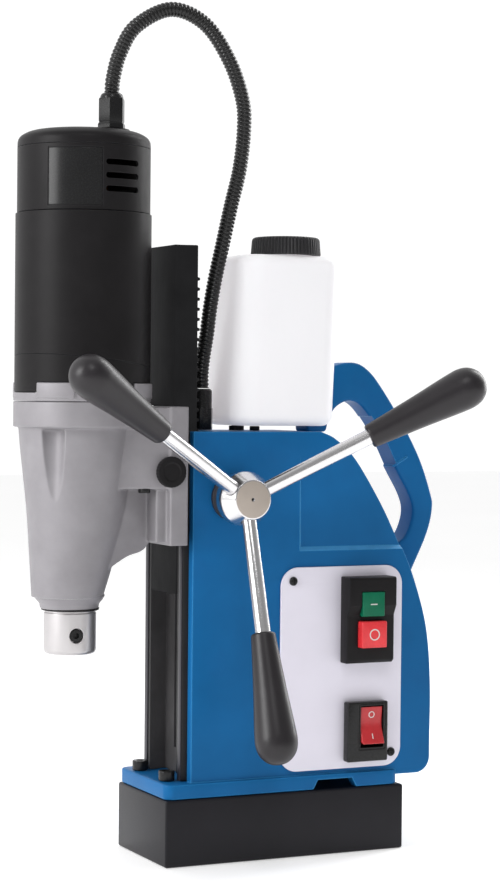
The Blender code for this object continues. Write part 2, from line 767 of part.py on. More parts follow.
def gearbox_cover():
    """The plate between gearbox and motor, with a bearing boss and four locating tabs."""
    lay_x, lay_y = lay_centre()
    low, high = (MOTOR_X, 0, CASE_TOP + GAP), (MOTOR_X, 0, COVER_TOP)
    cover = cylinder("gearbox_cover", BAND_RADIUS, low, high, "cast_aluminium", ROUND)
    boss = cylinder("join_bearing_boss", 0.0145, low, (MOTOR_X, 0, 0.2948), sides=20)
    join(cover, boss)
    for index, angle in enumerate(TAB_ANGLES):
        outline = tab_outline(angle, 0.0386, TAB_RADIUS)
        join(cover, plate(f"join_tab_{index}", [outline], "XY", CASE_TOP + 0.002, TAB_TOP))
    seat = cylinder("cut_bearing_seat", 0.0113, (MOTOR_X, 0, 0.2868), (MOTOR_X, 0, 0.310), sides=24)
    hole = cylinder("cut_pinion_hole", 0.0072, (MOTOR_X, 0, 0.275), (MOTOR_X, 0, 0.300), sides=18)
    lay = cylinder("cut_lay_hole", 0.0043, (lay_x, lay_y, 0.275), (lay_x, lay_y, 0.300), sides=14)
    return cut(cover, seat, hole, lay)


def bearing(name, x, low, high, inner, outer, finish="steel"):
    profile = [(outer, high), (outer, low), (inner, low), (inner, high)]
    return turned(name, profile, (x, 0, 0), (0, 0, 1), finish, steps=20, closed=True)


# Motor ---------------------------------------------------------------------------------------


def motor_field_case():
    """The lower motor shell, notched for the gearbox cover's tabs."""
    low, high = COVER_TOP + GAP, FIELD_CASE_TOP
    outer, inner = MOTOR_RADIUS, 0.0390
    profile = [(outer, high), (outer, low), (inner, low), (inner, high)]
    case = turned("motor_field_case", profile, (MOTOR_X, 0, 0), (0, 0, 1), "black_plastic",
                  steps=36, closed=True)
    for index, angle in enumerate(TAB_ANGLES):
        outline = tab_outline(angle, 0.0375, 0.050, 0.6)
        notch = plate(f"cut_tab_notch_{index}", [outline], "XY", 0.280, TAB_TOP + GAP)
        cut(case, notch)
    return case


VENT_HEIGHTS = (0.4110, 0.4190, 0.4270)
VENT_HALF_HEIGHT = 0.0018


def motor_brush_case():
    low, high = FIELD_CASE_TOP + GAP, BRUSH_CASE_TOP
    outer, inner = BRUSH_CASE_RADIUS, 0.0380
    profile = [(outer, high), (outer, low), (inner, low), (inner, high)]
    case = turned("motor_brush_case", profile, (MOTOR_X, 0, 0), (0, 0, 1), "black_plastic",
                  steps=36, closed=True)
    for side in (-1, 1):
        for index, z in enumerate(VENT_HEIGHTS):
            cut(case, vent_cutter(side, index, z))
    return case


def vent_cutter(side, index, z):
    """A slot with round ends, across the side of the motor."""
    left, right = -0.1240, -0.1045
    radius = VENT_HALF_HEIGHT
    outline = arc((right, z), radius, -90, 90, 5) + arc((left, z), radius, 90, 270, 5)
    low, high = sorted((side * 0.030, side * 0.050))
    return plate(f"cut_vent_{side}_{index}", [outline], "XZ", low, high)


def motor_end_cap():
    """The domed top, with the upper bearing's seat inside and a raised pad for the gland."""
    profile = [
        (0.0, MOTOR_TOP), (0.0250, MOTOR_TOP - 0.0003), (0.0330, 0.4476), (0.0380, 0.4453),
        (0.0400, 0.4431), (0.0406, 0.4408), (0.0407, 0.4380), (0.0380, 0.4380), (0.0370, 0.4400),
        (0.0300, 0.4440), (0.0145, 0.4452), (0.0145, 0.4345), (0.0113, 0.4345), (0.0113, 0.4430),
        (0.0, 0.4430),
    ]
    cap = turned("motor_end_cap", profile, (MOTOR_X, 0, 0), (0, 0, 1), "black_plastic", steps=36)
    boss_low, boss_high = (MOTOR_GLAND_X, 0, 0.4460), (MOTOR_GLAND_X, 0, 0.4510)
    join(cap, cylinder("join_gland_boss", 0.0112, boss_low, boss_high, sides=20))
    hole = cylinder("cut_motor_cable_hole", 0.0040, (MOTOR_GLAND_X, 0, 0.430),
                    (MOTOR_GLAND_X, 0, 0.460), sides=14)
    return cut(cap, hole)


MOTOR_GLAND_X = -0.1063


def motor_gland():
    """The nut that holds the conduit on the motor's top."""
    profile = [
        (0.0052, 0.4732), (0.0066, 0.4718), (0.0070, 0.4700), (0.0070, 0.4560), (0.0082, 0.4545),
        (0.0084, 0.4513), (0.0032, 0.4513), (0.0032, 0.4732),
    ]
    return turned("motor_gland", profile, (MOTOR_GLAND_X, 0, 0), (0, 0, 1), "black_plastic",
                  steps=20, closed=True)


def stator():
    profile = [(0.0386, 0.384), (0.0386, 0.308), (0.0252, 0.308), (0.0252, 0.384)]
    return turned("stator", profile, (MOTOR_X, 0, 0), (0, 0, 1), "steel", steps=32, closed=True)


def brush_holder(name, angle):
    """A box with its carbon brush, beside the commutator."""
    turn = Matrix.Translation((MOTOR_X, 0, 0.406)) @ Matrix.Rotation(math.radians(angle), 4, "Z")
    work = bmesh.new()
    bmesh.ops.create_cube(work, size=1.0)
    bmesh.ops.scale(work, vec=(0.0205, 0.0120, 0.0130), verts=work.verts)
    bmesh.ops.translate(work, vec=(0.0263, 0, 0), verts=work.verts)
    return add_object(name, mesh_from(work, name), turn, "bronze")


def armature():
    """The shaft with its laminated core and, below the lower bearing, its pinion."""
    profile = [
        (0.0, 0.4426), (0.0050, 0.4426), (0.0050, 0.3800), (0.0244, 0.3780), (0.0244, 0.3120),
        (0.0050, 0.3100), (0.0050, 0.2860), (0.0034, 0.2840), (0.0034, 0.2765), (0.0, 0.2765),
    ]
    shaft = turned("armature", profile, (MOTOR_X, 0, 0), (0, 0, 1), "steel", steps=24)
    outline = moved(gear_outline(ARMATURE_TEETH, FIRST_MODULE, 0.0), (MOTOR_X, 0))
    return join(shaft, plate("join_armature_pinion", [outline], "XY", 0.2772, 0.2845))


def commutator():
    profile = [(0.0150, 0.4160), (0.0150, 0.3960), (0.0053, 0.3960), (0.0053, 0.4160)]
    return turned("commutator", profile, (MOTOR_X, 0, 0), (0, 0, 1), "copper", closed=True)


def cooling_fan():
    """A bladed disc on the armature's shaft, above the gearbox."""
    profile = [(0.0350, 0.2985), (0.0350, 0.2965), (0.0053, 0.2965), (0.0053, 0.2985)]
    disc = turned("cooling_fan", profile, (MOTOR_X, 0, 0), (0, 0, 1), "black_plastic", closed=True)
    blades = 9
    for index in range(blades):
        turn = Matrix.Rotation(math.tau * index / blades, 4, "Z")
        work = bmesh.new()
        bmesh.ops.create_cube(work, size=1.0)
        bmesh.ops.scale(work, vec=(0.0220, 0.0016, 0.0070), verts=work.verts)
        bmesh.ops.translate(work, vec=(0.0235, 0, 0), verts=work.verts)
        name = f"join_blade_{index}"
        place = Matrix.Translation((MOTOR_X, 0, 0.3012)) @ turn
        join(disc, add_object(name, mesh_from(work, name), place))
    return disc


# Gear train and spindle ----------------------------------------------------------------------


def mesh_phase(centre, other, teeth, other_teeth, other_phase):
    """The turn that puts a gap of this gear opposite the other's tooth, on the centre line."""
    towards = math.atan2(other[1] - centre[1], other[0] - centre[0])
    from_other = towards + math.pi
    other_part = ((from_other - other_phase) * other_teeth / math.tau) % 1.0
    return towards - math.tau / teeth * (0.5 - other_part)


def lay_shaft():
    """The cluster of lay gear, lay pinion and their shaft."""
    centre = lay_centre()
    phase = mesh_phase(centre, (MOTOR_X, 0), LAY_TEETH, ARMATURE_TEETH, 0.0)
    low, high = (*centre, 0.2526), (*centre, 0.2880)
    shaft = cylinder("lay_shaft", 0.0040, low, high, "steel", sides=14)
    gear = moved(gear_outline(LAY_TEETH, FIRST_MODULE, phase), centre)
    pinion = moved(gear_outline(LAY_PINION_TEETH, SECOND_MODULE, 0.0), centre)
    join(shaft, plate("join_lay_gear", [gear], "XY", 0.2775, 0.2830))
    return join(shaft, plate("join_lay_pinion", [pinion], "XY", 0.2620, 0.2765))


def spindle_gear():
    phase = mesh_phase((SPINDLE_X, 0), lay_centre(), SPINDLE_TEETH, LAY_PINION_TEETH, 0.0)
    outline = moved(gear_outline(SPINDLE_TEETH, SECOND_MODULE, phase), (SPINDLE_X, 0))
    hole = moved([(0.0083 * math.cos(a), 0.0083 * math.sin(a))
                  for a in [math.tau * i / 20 for i in range(20)]], (SPINDLE_X, 0))
    return plate("spindle_gear", [outline, hole], "XY", 0.2632, 0.2740, "steel")


WELDON_SCREW_ANGLES = (-96, -6)


def spindle():
    """The quill with its bore for a weldon shank and two holes for the clamping screws."""
    profile = [
        (0.0, 0.2755), (0.0080, 0.2755), (0.0080, 0.2590), (0.0104, 0.2590), (0.0104, 0.1780),
        (0.0110, 0.1780), (0.0110, 0.1647), (SPINDLE_RADIUS, 0.1647),
        (SPINDLE_RADIUS, SPINDLE_END + 0.0022), (SPINDLE_RADIUS - 0.0006, SPINDLE_END + 0.0007),
        (SPINDLE_RADIUS - 0.0020, SPINDLE_END), (WELDON_RADIUS, SPINDLE_END),
        (WELDON_RADIUS, SPINDLE_END + WELDON_DEPTH), (0.0032, SPINDLE_END + WELDON_DEPTH + 0.003),
        (0.0032, 0.2400), (0.0, 0.2400),
    ]
    quill = turned("spindle", profile, (SPINDLE_X, 0, 0), (0, 0, 1), "steel", steps=32)
    for index, angle in enumerate(WELDON_SCREW_ANGLES):
        start, end = weldon_point(0.0060, angle), weldon_point(0.0200, angle)
        cut(quill, cylinder(f"cut_weldon_{index}", 0.0044, start, end, sides=16))
    return quill


def weldon_point(radius, degrees):
    angle = math.radians(degrees)
    return SPINDLE_X + radius * math.cos(angle), radius * math.sin(angle), WELDON_SCREW_Z


def weldon_screw(index, angle):
    start, end = weldon_point(0.0102, angle), weldon_point(0.0147, angle)
    screw = cylinder(f"weldon_screw_{index}", 0.0040, start, end, "black_steel", sides=14)
    socket = cylinder(f"cut_weldon_hex_{index}", 0.0021, weldon_point(0.0120, angle),
                      weldon_point(0.0180, angle), sides=6)
    return cut(screw, socket)


# Capstan -------------------------------------------------------------------------------------


def pinion_shaft():
    shaft = cylinder("pinion_shaft", 0.0080, (PINION_X, HUB_REAR + 0.0150 - 0.0300, PINION_Z),
                     (PINION_X, 0.0390, PINION_Z), "steel", sides=20)
    outline = moved(gear_outline(PINION_TEETH, RACK_MODULE, math.pi, 0.74), (PINION_X, PINION_Z))
    return join(shaft, plate("join_feed_pinion", [outline], "XZ", -0.0078, 0.0078))


def capstan_hub():
    """A turned boss that widens to a flange, then narrows to its round face."""
    depth = -HUB_FACE
    profile = [
        (0.0, depth), (0.0116, depth), (0.0122, depth - 0.0006), (0.0166, 0.0556),
        (0.0168, 0.0548), (0.0168, 0.0480), (0.0158, 0.0465), (0.0120, 0.0450), (0.0108, 0.0430),
        (0.0108, -HUB_REAR), (0.0083, -HUB_REAR), (0.0083, 0.0540), (0.0, 0.0540),
    ]
    hub = turned("capstan_hub", profile, (PINION_X, 0, PINION_Z), (0, -1, 0), "steel")
    for index, angle in enumerate(SPOKE_ANGLES):
        start, end = spoke_point(0.0105, angle), spoke_point(0.0300, angle)
        cut(hub, cylinder(f"cut_spoke_{index}", SPOKE_RADIUS + GAP, start, end, sides=16))
    return hub


def spoke_direction(degrees):
    angle = math.radians(degrees)
    out = math.cos(SPOKE_TILT)
    return Vector((out * math.cos(angle), -math.sin(SPOKE_TILT), out * math.sin(angle)))


def spoke_point(distance, degrees):
    root = Vector((PINION_X, SPOKE_ROOT_Y, PINION_Z))
    return tuple(root + spoke_direction(degrees) * distance)


def spoke(index, angle):
    start, end = spoke_point(0.0109, angle), spoke_point(SPOKE_END, angle)
    return cylinder(f"spoke_{index}", SPOKE_RADIUS, start, end, "chrome", sides=16)


def grip(index, angle):
    """A club-shaped grip: slim where the spoke enters it, full and round at its end."""
    inner = SPOKE_RADIUS + GAP
    profile = [
        (0.0, GRIP_END), (0.0055, 0.1620), (0.0094, 0.1592), (0.0117, 0.1552), (0.0127, 0.1500),
        (0.0125, 0.1440), (0.0117, 0.1350), (0.0102, 0.1200), (0.0087, 0.1020), (0.0078, 0.0900),
        (0.0075, 0.0856), (0.0069, GRIP_START), (inner, GRIP_START), (inner, SPOKE_END + GAP),
        (0.0, SPOKE_END + GAP),
    ]
    root = (PINION_X, SPOKE_ROOT_Y, PINION_Z)
    return turned(f"grip_{index}", profile, root, spoke_direction(angle), "grip_plastic", steps=24)


def lock_knob():
    """The slide lock: a round knob with its stud in the bracket."""
    profile = [
        (0.0, 0.0425), (0.0087, 0.0425), (0.0095, 0.0418), (0.0095, 0.0390), (0.0088, -KNOB_BACK),
        (0.0030, -KNOB_BACK), (0.0030, 0.0240), (0.0, 0.0240),
    ]
    return turned("lock_knob", profile, (KNOB_X, 0, KNOB_Z), (0, -1, 0), "black_plastic", steps=24)


# Control panel -------------------------------------------------------------------------------


def control_panel():
    outline = rounded_rectangle(
        (PANEL_X[0], PANEL_Z[0]), (PANEL_X[1], PANEL_Z[1]), PANEL_CORNER, 6
    )
    panel = plate("control_panel", [outline], "XZ", PANEL_FACE, PANEL_BACK, "panel_white")
    switch = box("cut_panel_switch", (0.0400, -0.040, 0.1240), (0.0672, -0.030, 0.1712))
    rocker = box("cut_panel_rocker", (0.0434, -0.040, 0.0620), (0.0671, -0.030, 0.0946))
    cut(panel, switch, rocker)
    for index, (x, z) in enumerate(PANEL_SCREWS):
        cut(panel, cylinder(f"cut_panel_hole_{index}", 0.0021, (x, -0.034, z), (x, -0.040, z),
                            sides=12))
    return panel


def panel_screw(name, place):
    x, z = place
    profile = [
        (0.0, 0.0389), (0.0016, 0.0388), (0.0024, 0.0384), (0.0028, 0.0378), (0.0028, 0.0373),
        (0.0016, 0.0373), (0.0016, 0.0310), (0.0, 0.0310),
    ]
    return turned(name, profile, (x, 0, z), (0, -1, 0), "black_steel", steps=14)


def motor_switch_body():
    """The start and stop switch: deeper above, with a sloping step above the stop button."""
    low, high = SWITCH_Z
    back = PANEL_FACE - GAP
    side = [
        (back, high), (-0.0490, high), (-0.0500, high - 0.001), (-0.0500, 0.1570),
        (-0.0468, 0.1508), (-0.0468, low + 0.002), (-0.0448, low), (back, low),
    ]
    body = plate("motor_switch_body", [side], "YZ", SWITCH_X[0], SWITCH_X[1], "black_plastic")
    rear = box("join_switch_rear", (0.0403, -0.040, 0.1243), (0.0669, -0.022, 0.1709))
    join(body, rear)
    for name, z, half_x, half_z in BUTTON_SIZES:
        room = 0.0004
        pocket = box(
            f"cut_{name}_pocket", (BUTTON_X - half_x - room, -0.055, z - half_z - room),
            (BUTTON_X + half_x + room, -0.0300, z + half_z + room),
        )
        cut(body, pocket)
    return body


BUTTON_SIZES = (
    ("start_button", START_Z, 0.0078, 0.0077),
    ("stop_button", STOP_Z, 0.0089, 0.0083),
)


def button(name, z, half_x, half_z, face, finish):
    made = box(name, (BUTTON_X - half_x, face, z - half_z), (BUTTON_X + half_x, -0.0360, z + half_z),
               finish)
    return bevel(made, 0.0007, 1)


def rocker_frame():
    low, high = ROCKER_Z
    frame = box("rocker_frame", (ROCKER_X[0], -0.0440, low), (ROCKER_X[1], PANEL_FACE - GAP, high),
                "black_plastic")
    bevel(frame, 0.0012, 2)
    rear = box("join_rocker_rear", (0.0437, -0.040, 0.0623), (0.0668, -0.024, 0.0943))
    join(frame, rear)
    pivot_x = ROCKER_PIVOT[0]
    pocket = box("cut_rocker_pocket", (pivot_x - 0.0082, -0.050, 0.0668),
                 (pivot_x + 0.0082, -0.0290, 0.0932))
    return cut(frame, pocket)


def magnet_rocker():
    """A rocker with a shallow vee for its face, at rest with its upper half pressed in."""
    face = [(-0.0062, 0.0118), (-0.0038, 0.0), (-0.0062, -0.0118), (0.0030, -0.0080),
            (0.0030, 0.0080)]
    cos, sin = math.cos(ROCKER_REST), math.sin(ROCKER_REST)
    pivot_x, pivot_y, pivot_z = ROCKER_PIVOT
    outline = [(pivot_y + y * cos + z * sin, pivot_z - y * sin + z * cos) for y, z in face]
    rocker = plate("magnet_rocker", [outline], "YZ", pivot_x - 0.0077, pivot_x + 0.0077,
                   "red_plastic")
    return bevel(rocker, 0.0005, 1)


def control_board():
    """The circuit board behind the panel, with its large capacitor."""
    board = box("control_board", (-0.010, -0.0150, 0.0900), (0.0300, -0.0134, 0.1600),
                "board_green")
    return join(board, box("join_capacitor", (-0.004, -0.0140, 0.1200), (0.0180, 0.0060, 0.1450)))


# Coolant tank, glands and conduit ------------------------------------------------------------


def tank_block(name, inset, finish=None):
    """The tank's leaning rounded block, or its inner room."""
    low, high = TANK_LOW + inset, TANK_HIGH - inset
    half = (TANK_HALF_X - inset, TANK_HALF_Y - inset)
    block = plate(name, [centred_rectangle(half, 0.015 - inset, 5)], "XY", low, high, finish)
    work = bmesh.new()
    work.from_mesh(block.data)
    lean = Matrix.Identity(4)
    lean[0][2] = TANK_LEAN
    bmesh.ops.transform(work, matrix=lean, verts=work.verts)
    work.to_mesh(block.data)
    work.free()
    block.location.x += TANK_X + TANK_LEAN * (TANK_HIGH - TANK_LOW) / 2
    return bevel(block, 0.005 - inset * 0.8, 2, 50)


def groove(name, grow):
    return box(name, (GROOVE_X - grow, -GROOVE_HALF - grow, 0.255),
               (0.060, GROOVE_HALF + grow, GROOVE_TOP + grow))


def coolant_tank():
    tank = tank_block("coolant_tank", 0.0, "tank_white")
    neck_low, neck_high = (CAP_X, CAP_Y, TANK_HIGH - 0.001), (CAP_X, CAP_Y, 0.3860)
    join(tank, cylinder("join_neck", 0.0165, neck_low, neck_high, sides=24))
    room = cut(tank_block("cut_tank_room", TANK_WALL), groove("cut_room_groove", TANK_WALL))
    mouth = cylinder("cut_mouth", 0.0140, (CAP_X, CAP_Y, 0.370), (CAP_X, CAP_Y, 0.395), sides=24)
    outlet = cylinder("cut_outlet", 0.0033, (*OUTLET, 0.265), (*OUTLET, 0.275), sides=12)
    return cut(tank, room, groove("cut_tank_groove", 0.0), mouth, outlet)


OUTLET = (-0.0215, -0.0040)
TANK_POST = (-0.0150, -0.0170)


def tank_cap():
    """A ribbed screw cap over the tank's neck."""
    low = TANK_HIGH + 0.0006
    profile = [
        (0.0, CAP_TOP), (0.0195, CAP_TOP), (0.0212, CAP_TOP - 0.0010), (CAP_RADIUS, low + 0.0010),
        (CAP_RADIUS - 0.0006, low), (0.0168, low), (0.0168, 0.3863), (0.0, 0.3863),
    ]
    return turned("tank_cap", profile, (CAP_X, CAP_Y, 0), (0, 0, 1), "black_plastic", steps=30)


def tank_outlet():
    """The outlet fitting under the tank: a collar outside and a spigot in the tank's floor."""
    profile = [
        (0.0030, 0.2745), (0.0030, TANK_LOW - GAP), (0.0048, TANK_LOW - GAP),
        (0.0048, HOUSING_TOP + GAP), (0.0016, HOUSING_TOP + GAP), (0.0016, 0.2745),
    ]
    return turned("tank_outlet", profile, (*OUTLET, 0), (0, 0, 1), "black_plastic", steps=16,
                  closed=True)


def tank_post():
    low, high = (*TANK_POST, HOUSING_TOP + GAP), (*TANK_POST, TANK_LOW - GAP)
    return cylinder("tank_post", 0.0032, low, high, "black_plastic", sides=12)


def housing_gland():
    """The socket on the housing's top that takes the conduit's lower end."""
    profile = [
        (0.0058, 0.2923), (0.0068, 0.2908), (0.0068, 0.2720), (0.0062, 0.2700),
        (0.0062, HOUSING_TOP + GAP), (0.0032, HOUSING_TOP + GAP), (0.0032, 0.2923),
    ]
    return turned("housing_gland", profile, (GLAND_X, GLAND_Y, 0), (0, 0, 1), "black_plastic",
                  steps=20, closed=True)


def mains_gland():
    """The mains inlet in the housing's back, where a supply cord would enter."""
    wall = HOUSING_REAR + GAP
    profile = [
        (0.0060, wall + 0.0130), (0.0076, wall + 0.0115), (0.0080, wall), (0.0060, wall),
        (0.0060, wall - 0.0090), (0.0040, wall - 0.0090), (0.0040, wall + 0.0130),
    ]
    return turned("mains_gland", profile, (0, MAINS_Y, MAINS_Z), (1, 0, 0), "black_plastic",
                  steps=20, closed=True)


# Assembly ------------------------------------------------------------------------------------


def build_root():
    magnet_body()
    ring_in_slot("magnet_coil", POTTING_TOP + GAP, COIL_SLOT_TOP - GAP, "copper")
    ring_in_slot("magnet_potting", GAP, POTTING_TOP, "resin")
    for index, y in enumerate(FOOT_SCREW_Y):
        foot_screw(index + 1, y)
    main_housing()
    carry_handle()
    guide_column()
    gib_strip()
    pinion_bush("pinion_bush_near", -1)
    pinion_bush("pinion_bush_far", 1)
    control_panel()
    panel_screw("panel_screw_upper", PANEL_SCREWS[0])
    panel_screw("panel_screw_lower", PANEL_SCREWS[1])
    motor_switch_body()
    rocker_frame()
    control_board()
    coolant_tank()
    tank_outlet()
    tank_post()
    housing_gland()
    mains_gland()
    tube("conduit", smooth(CONDUIT_ROUTE, 3), CONDUIT_RADIUS, "conduit_black")


def build_carriage():
    fixed = [
        slide_rail(),
        feed_rack(),
        gearbox_housing(),
        gearbox_cover(),
        motor_field_case(),
        motor_brush_case(),
        motor_end_cap(),
        motor_gland(),
        stator(),
        brush_holder("brush_holder_front", 150),
        brush_holder("brush_holder_rear", -30),
        bearing("spindle_bearing_lower", SPINDLE_X, 0.1652, 0.1775, 0.0113, 0.0165),
        bearing("spindle_bearing_upper", SPINDLE_X, 0.2462, 0.2582, 0.0107, 0.0165),
        bearing("armature_bearing_lower", MOTOR_X, 0.2872, 0.2945, 0.0053, 0.0110),
        bearing("armature_bearing_upper", MOTOR_X, 0.4352, 0.4425, 0.0053, 0.0110),
    ]
    carriage = carried_by("carriage", (SLIDE_FRONT, 0, SPINDLE_END), fixed)
    screws = [weldon_screw(i + 1, angle) for i, angle in enumerate(WELDON_SCREW_ANGLES)]
    turning = (
        carried_by("spindle_axis", (SPINDLE_X, 0, 0), [spindle(), spindle_gear(), *screws]),
        carried_by("lay_axis", (*lay_centre(), 0), [lay_shaft()]),
        carried_by("armature_axis", (MOTOR_X, 0, 0), [armature(), commutator(), cooling_fan()]),
        carried_by("knob_axis", (KNOB_X, 0, KNOB_Z), [lock_knob()]),
    )
    for holder in turning:
        holder.parent = carriage
        holder.matrix_parent_inverse = Matrix.Translation(carriage.location).inverted()


def build_capstan():
    pieces = [pinion_shaft(), capstan_hub()]
    for index, angle in enumerate(SPOKE_ANGLES):
        pieces.append(spoke(index + 1, angle))
        pieces.append(grip(index + 1, angle))
    carried_by("capstan_axis", (PINION_X, 0, PINION_Z), pieces)


def build_controls():
    start, stop = BUTTON_SIZES
    button(*start, -0.0508, "green_plastic")
    button(*stop, -0.0520, "red_plastic")
    carried_by("rocker_axis", ROCKER_PIVOT, [magnet_rocker()])
    carried_by("cap_axis", (CAP_X, CAP_Y, TANK_HIGH), [tank_cap()])


clear_scene()
PARTS = new_collection("magnetic_drill_press")
CUTTERS = new_collection("cutters")
build_root()
build_carriage()
build_capstan()
build_controls()
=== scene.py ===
"""The looks of the magnetic drill press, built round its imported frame. Metres, +Z up."""

import math

import bmesh
import bpy
from mathutils import Matrix, Vector


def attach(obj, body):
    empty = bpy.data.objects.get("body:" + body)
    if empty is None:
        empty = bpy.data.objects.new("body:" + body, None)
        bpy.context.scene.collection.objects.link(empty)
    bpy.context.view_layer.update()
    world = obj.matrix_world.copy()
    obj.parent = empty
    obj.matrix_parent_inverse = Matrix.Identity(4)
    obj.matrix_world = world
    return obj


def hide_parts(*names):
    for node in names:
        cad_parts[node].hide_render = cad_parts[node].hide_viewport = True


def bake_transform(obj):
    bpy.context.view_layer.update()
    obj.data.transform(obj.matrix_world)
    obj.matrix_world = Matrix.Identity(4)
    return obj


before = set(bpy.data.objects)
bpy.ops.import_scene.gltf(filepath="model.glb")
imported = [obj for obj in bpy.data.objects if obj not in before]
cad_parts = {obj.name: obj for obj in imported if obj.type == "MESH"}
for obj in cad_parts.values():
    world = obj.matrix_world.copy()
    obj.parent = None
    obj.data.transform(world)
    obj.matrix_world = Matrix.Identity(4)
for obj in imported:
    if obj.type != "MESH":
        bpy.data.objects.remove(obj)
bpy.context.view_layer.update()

# Sizes of the machine, the same as in the frame ------------------------------

MOTOR_X, SPINDLE_X = -0.1241, -0.131
HOUSING_FRONT, HOUSING_TOP, HOUSING_REAR = -0.0646, 0.266, 0.1035
HALF_WIDTH, FOOT_TOP = 0.035, 0.0505
COLUMN_HALF, COLUMN_FRONT = 0.0288, -0.0685
PINION = (-0.0386, 0.2255)  # X and Z of the capstan's axis
PANEL_FACE = -0.0370
BUTTON_X, START_Z, STOP_Z = 0.0533, 0.158, 0.139
SWITCH_OPENINGS = (((0.0400, 0.1240), (0.0672, 0.1712)), ((0.0434, 0.0620), (0.0671, 0.0946)))
PANEL_SCREWS = (("upper", 0.0032, 0.1728), ("lower", 0.0738, 0.0620))
PIVOT = (0.0565, -0.039, 0.080)  # the magnet's rocker
ROCKER_REST = math.radians(8)
CAP = (0.011, -0.006)  # X and Y of the tank cap's axis
OUTLET = (-0.0215, -0.0040)
FOOT_SCREW_X, FOOT_SCREW_Y = -0.0747, (-0.021, 0.021)
LAY_SHAFT = (-0.11853, 0.02051)
KNOB_X, KNOB_Z = -0.0818, 0.2416
HOUSING_GLAND = (-0.0397, 0.010)
MAINS_GLAND = (0.012, 0.080)  # Y and Z
MOTOR_GLAND_X = -0.1063
SHANK_SCREW_ANGLES, SHANK_SCREW_Z = (-96, -6), 0.1416
SPOKE_ANGLES = (149, 29, 269)
SPOKE_TILT = math.radians(19.5)
TAB_ANGLES = (-134, -46, 46, 134)
CONDUIT_RADIUS = 0.00475
CONDUIT_ROUTE = (
    (-0.1063, 0.0000, 0.4735), (-0.1054, 0.0000, 0.4830), (-0.1010, 0.0000, 0.4985),
    (-0.0905, 0.0000, 0.5155), (-0.0672, 0.0000, 0.5277), (-0.0440, 0.0000, 0.5205),
    (-0.0270, 0.0000, 0.4990), (-0.0176, 0.0000, 0.4750), (-0.0163, 0.0000, 0.4560),
    (-0.0198, -0.0015, 0.4310), (-0.0268, -0.0040, 0.4070), (-0.0334, -0.0060, 0.3820),
    (-0.0372, -0.0045, 0.3625), (-0.0390, -0.0010, 0.3440), (-0.0393, 0.0035, 0.3260),
    (-0.0397, 0.0078, 0.3120), (-0.0397, 0.0100, 0.3020), (-0.0397, 0.0100, 0.2926),
)

# Materials -------------------------------------------------------------------


def nodes_of(name):
    made = bpy.data.materials.new(name)
    made.use_nodes = True
    tree = made.node_tree
    return made, tree, tree.nodes["Principled BSDF"]


def link(tree, a, b):
    tree.links.new(a, b)


def noise(tree, scale, detail=4.0, rough=0.55, stretch=None):
    """Noise in object space, in features per metre, drawn out along an axis by stretch."""
    place = tree.nodes.new("ShaderNodeTexCoord")
    out = place.outputs["Object"]
    if stretch:
        turn = tree.nodes.new("ShaderNodeMapping")
        turn.inputs["Scale"].default_value = stretch
        link(tree, out, turn.inputs["Vector"])
        out = turn.outputs["Vector"]
    made = tree.nodes.new("ShaderNodeTexNoise")
    made.inputs["Scale"].default_value = scale
    made.inputs["Detail"].default_value = detail
    made.inputs["Roughness"].default_value = rough
    link(tree, out, made.inputs["Vector"])
    return made.outputs["Fac"]


def remap(tree, value, low, high, to_low, to_high):
    made = tree.nodes.new("ShaderNodeMapRange")
    made.inputs["From Min"].default_value = low
    made.inputs["From Max"].default_value = high
    made.inputs["To Min"].default_value = to_low
    made.inputs["To Max"].default_value = to_high
    link(tree, value, made.inputs["Value"])
    return made.outputs["Result"]


def blend_colours(tree, factor, low, high):
    """Colour low where factor is 0 and high where it is 1; either may be another node's output."""
    made = tree.nodes.new("ShaderNodeMix")
    made.data_type = "RGBA"
    link(tree, factor, made.inputs["Factor"])
    for socket, colour in (("A", low), ("B", high)):
        target = [s for s in made.inputs if s.name == socket and s.type == "RGBA"][0]
        if isinstance(colour, tuple):
            target.default_value = (*colour, 1.0)
        else:
            link(tree, colour, target)
    return [s for s in made.outputs if s.type == "RGBA"][0]


def shade(colour, by):
    return tuple(min(1.0, c * by) for c in colour)


def rounded_normal(tree, radius):
    made = tree.nodes.new("ShaderNodeBevel")
    made.samples = 6
    made.inputs["Radius"].default_value = radius
    return made.outputs["Normal"]


def edge_highlight_mask(tree, normal, start=0.995, full=0.90):
    """0 on flat ground and 1 along edges, where the rounded normal leaves the surface's own: this
    places a painted highlight.
    """
    ground = tree.nodes.new("ShaderNodeNewGeometry")
    dot = tree.nodes.new("ShaderNodeVectorMath")
    dot.operation = "DOT_PRODUCT"
    link(tree, normal, dot.inputs[0])
    link(tree, ground.outputs["Normal"], dot.inputs[1])
    return remap(tree, dot.outputs["Value"], start, full, 0.0, 1.0)


def bumped(tree, shader, height, strength, distance, normal=None):
    made = tree.nodes.new("ShaderNodeBump")
    made.inputs["Strength"].default_value = strength
    made.inputs["Distance"].default_value = distance
    link(tree, height, made.inputs["Height"])
    if normal is not None:
        link(tree, normal, made.inputs["Normal"])
    link(tree, made.outputs["Normal"], shader.inputs["Normal"])
    return made.outputs["Normal"]


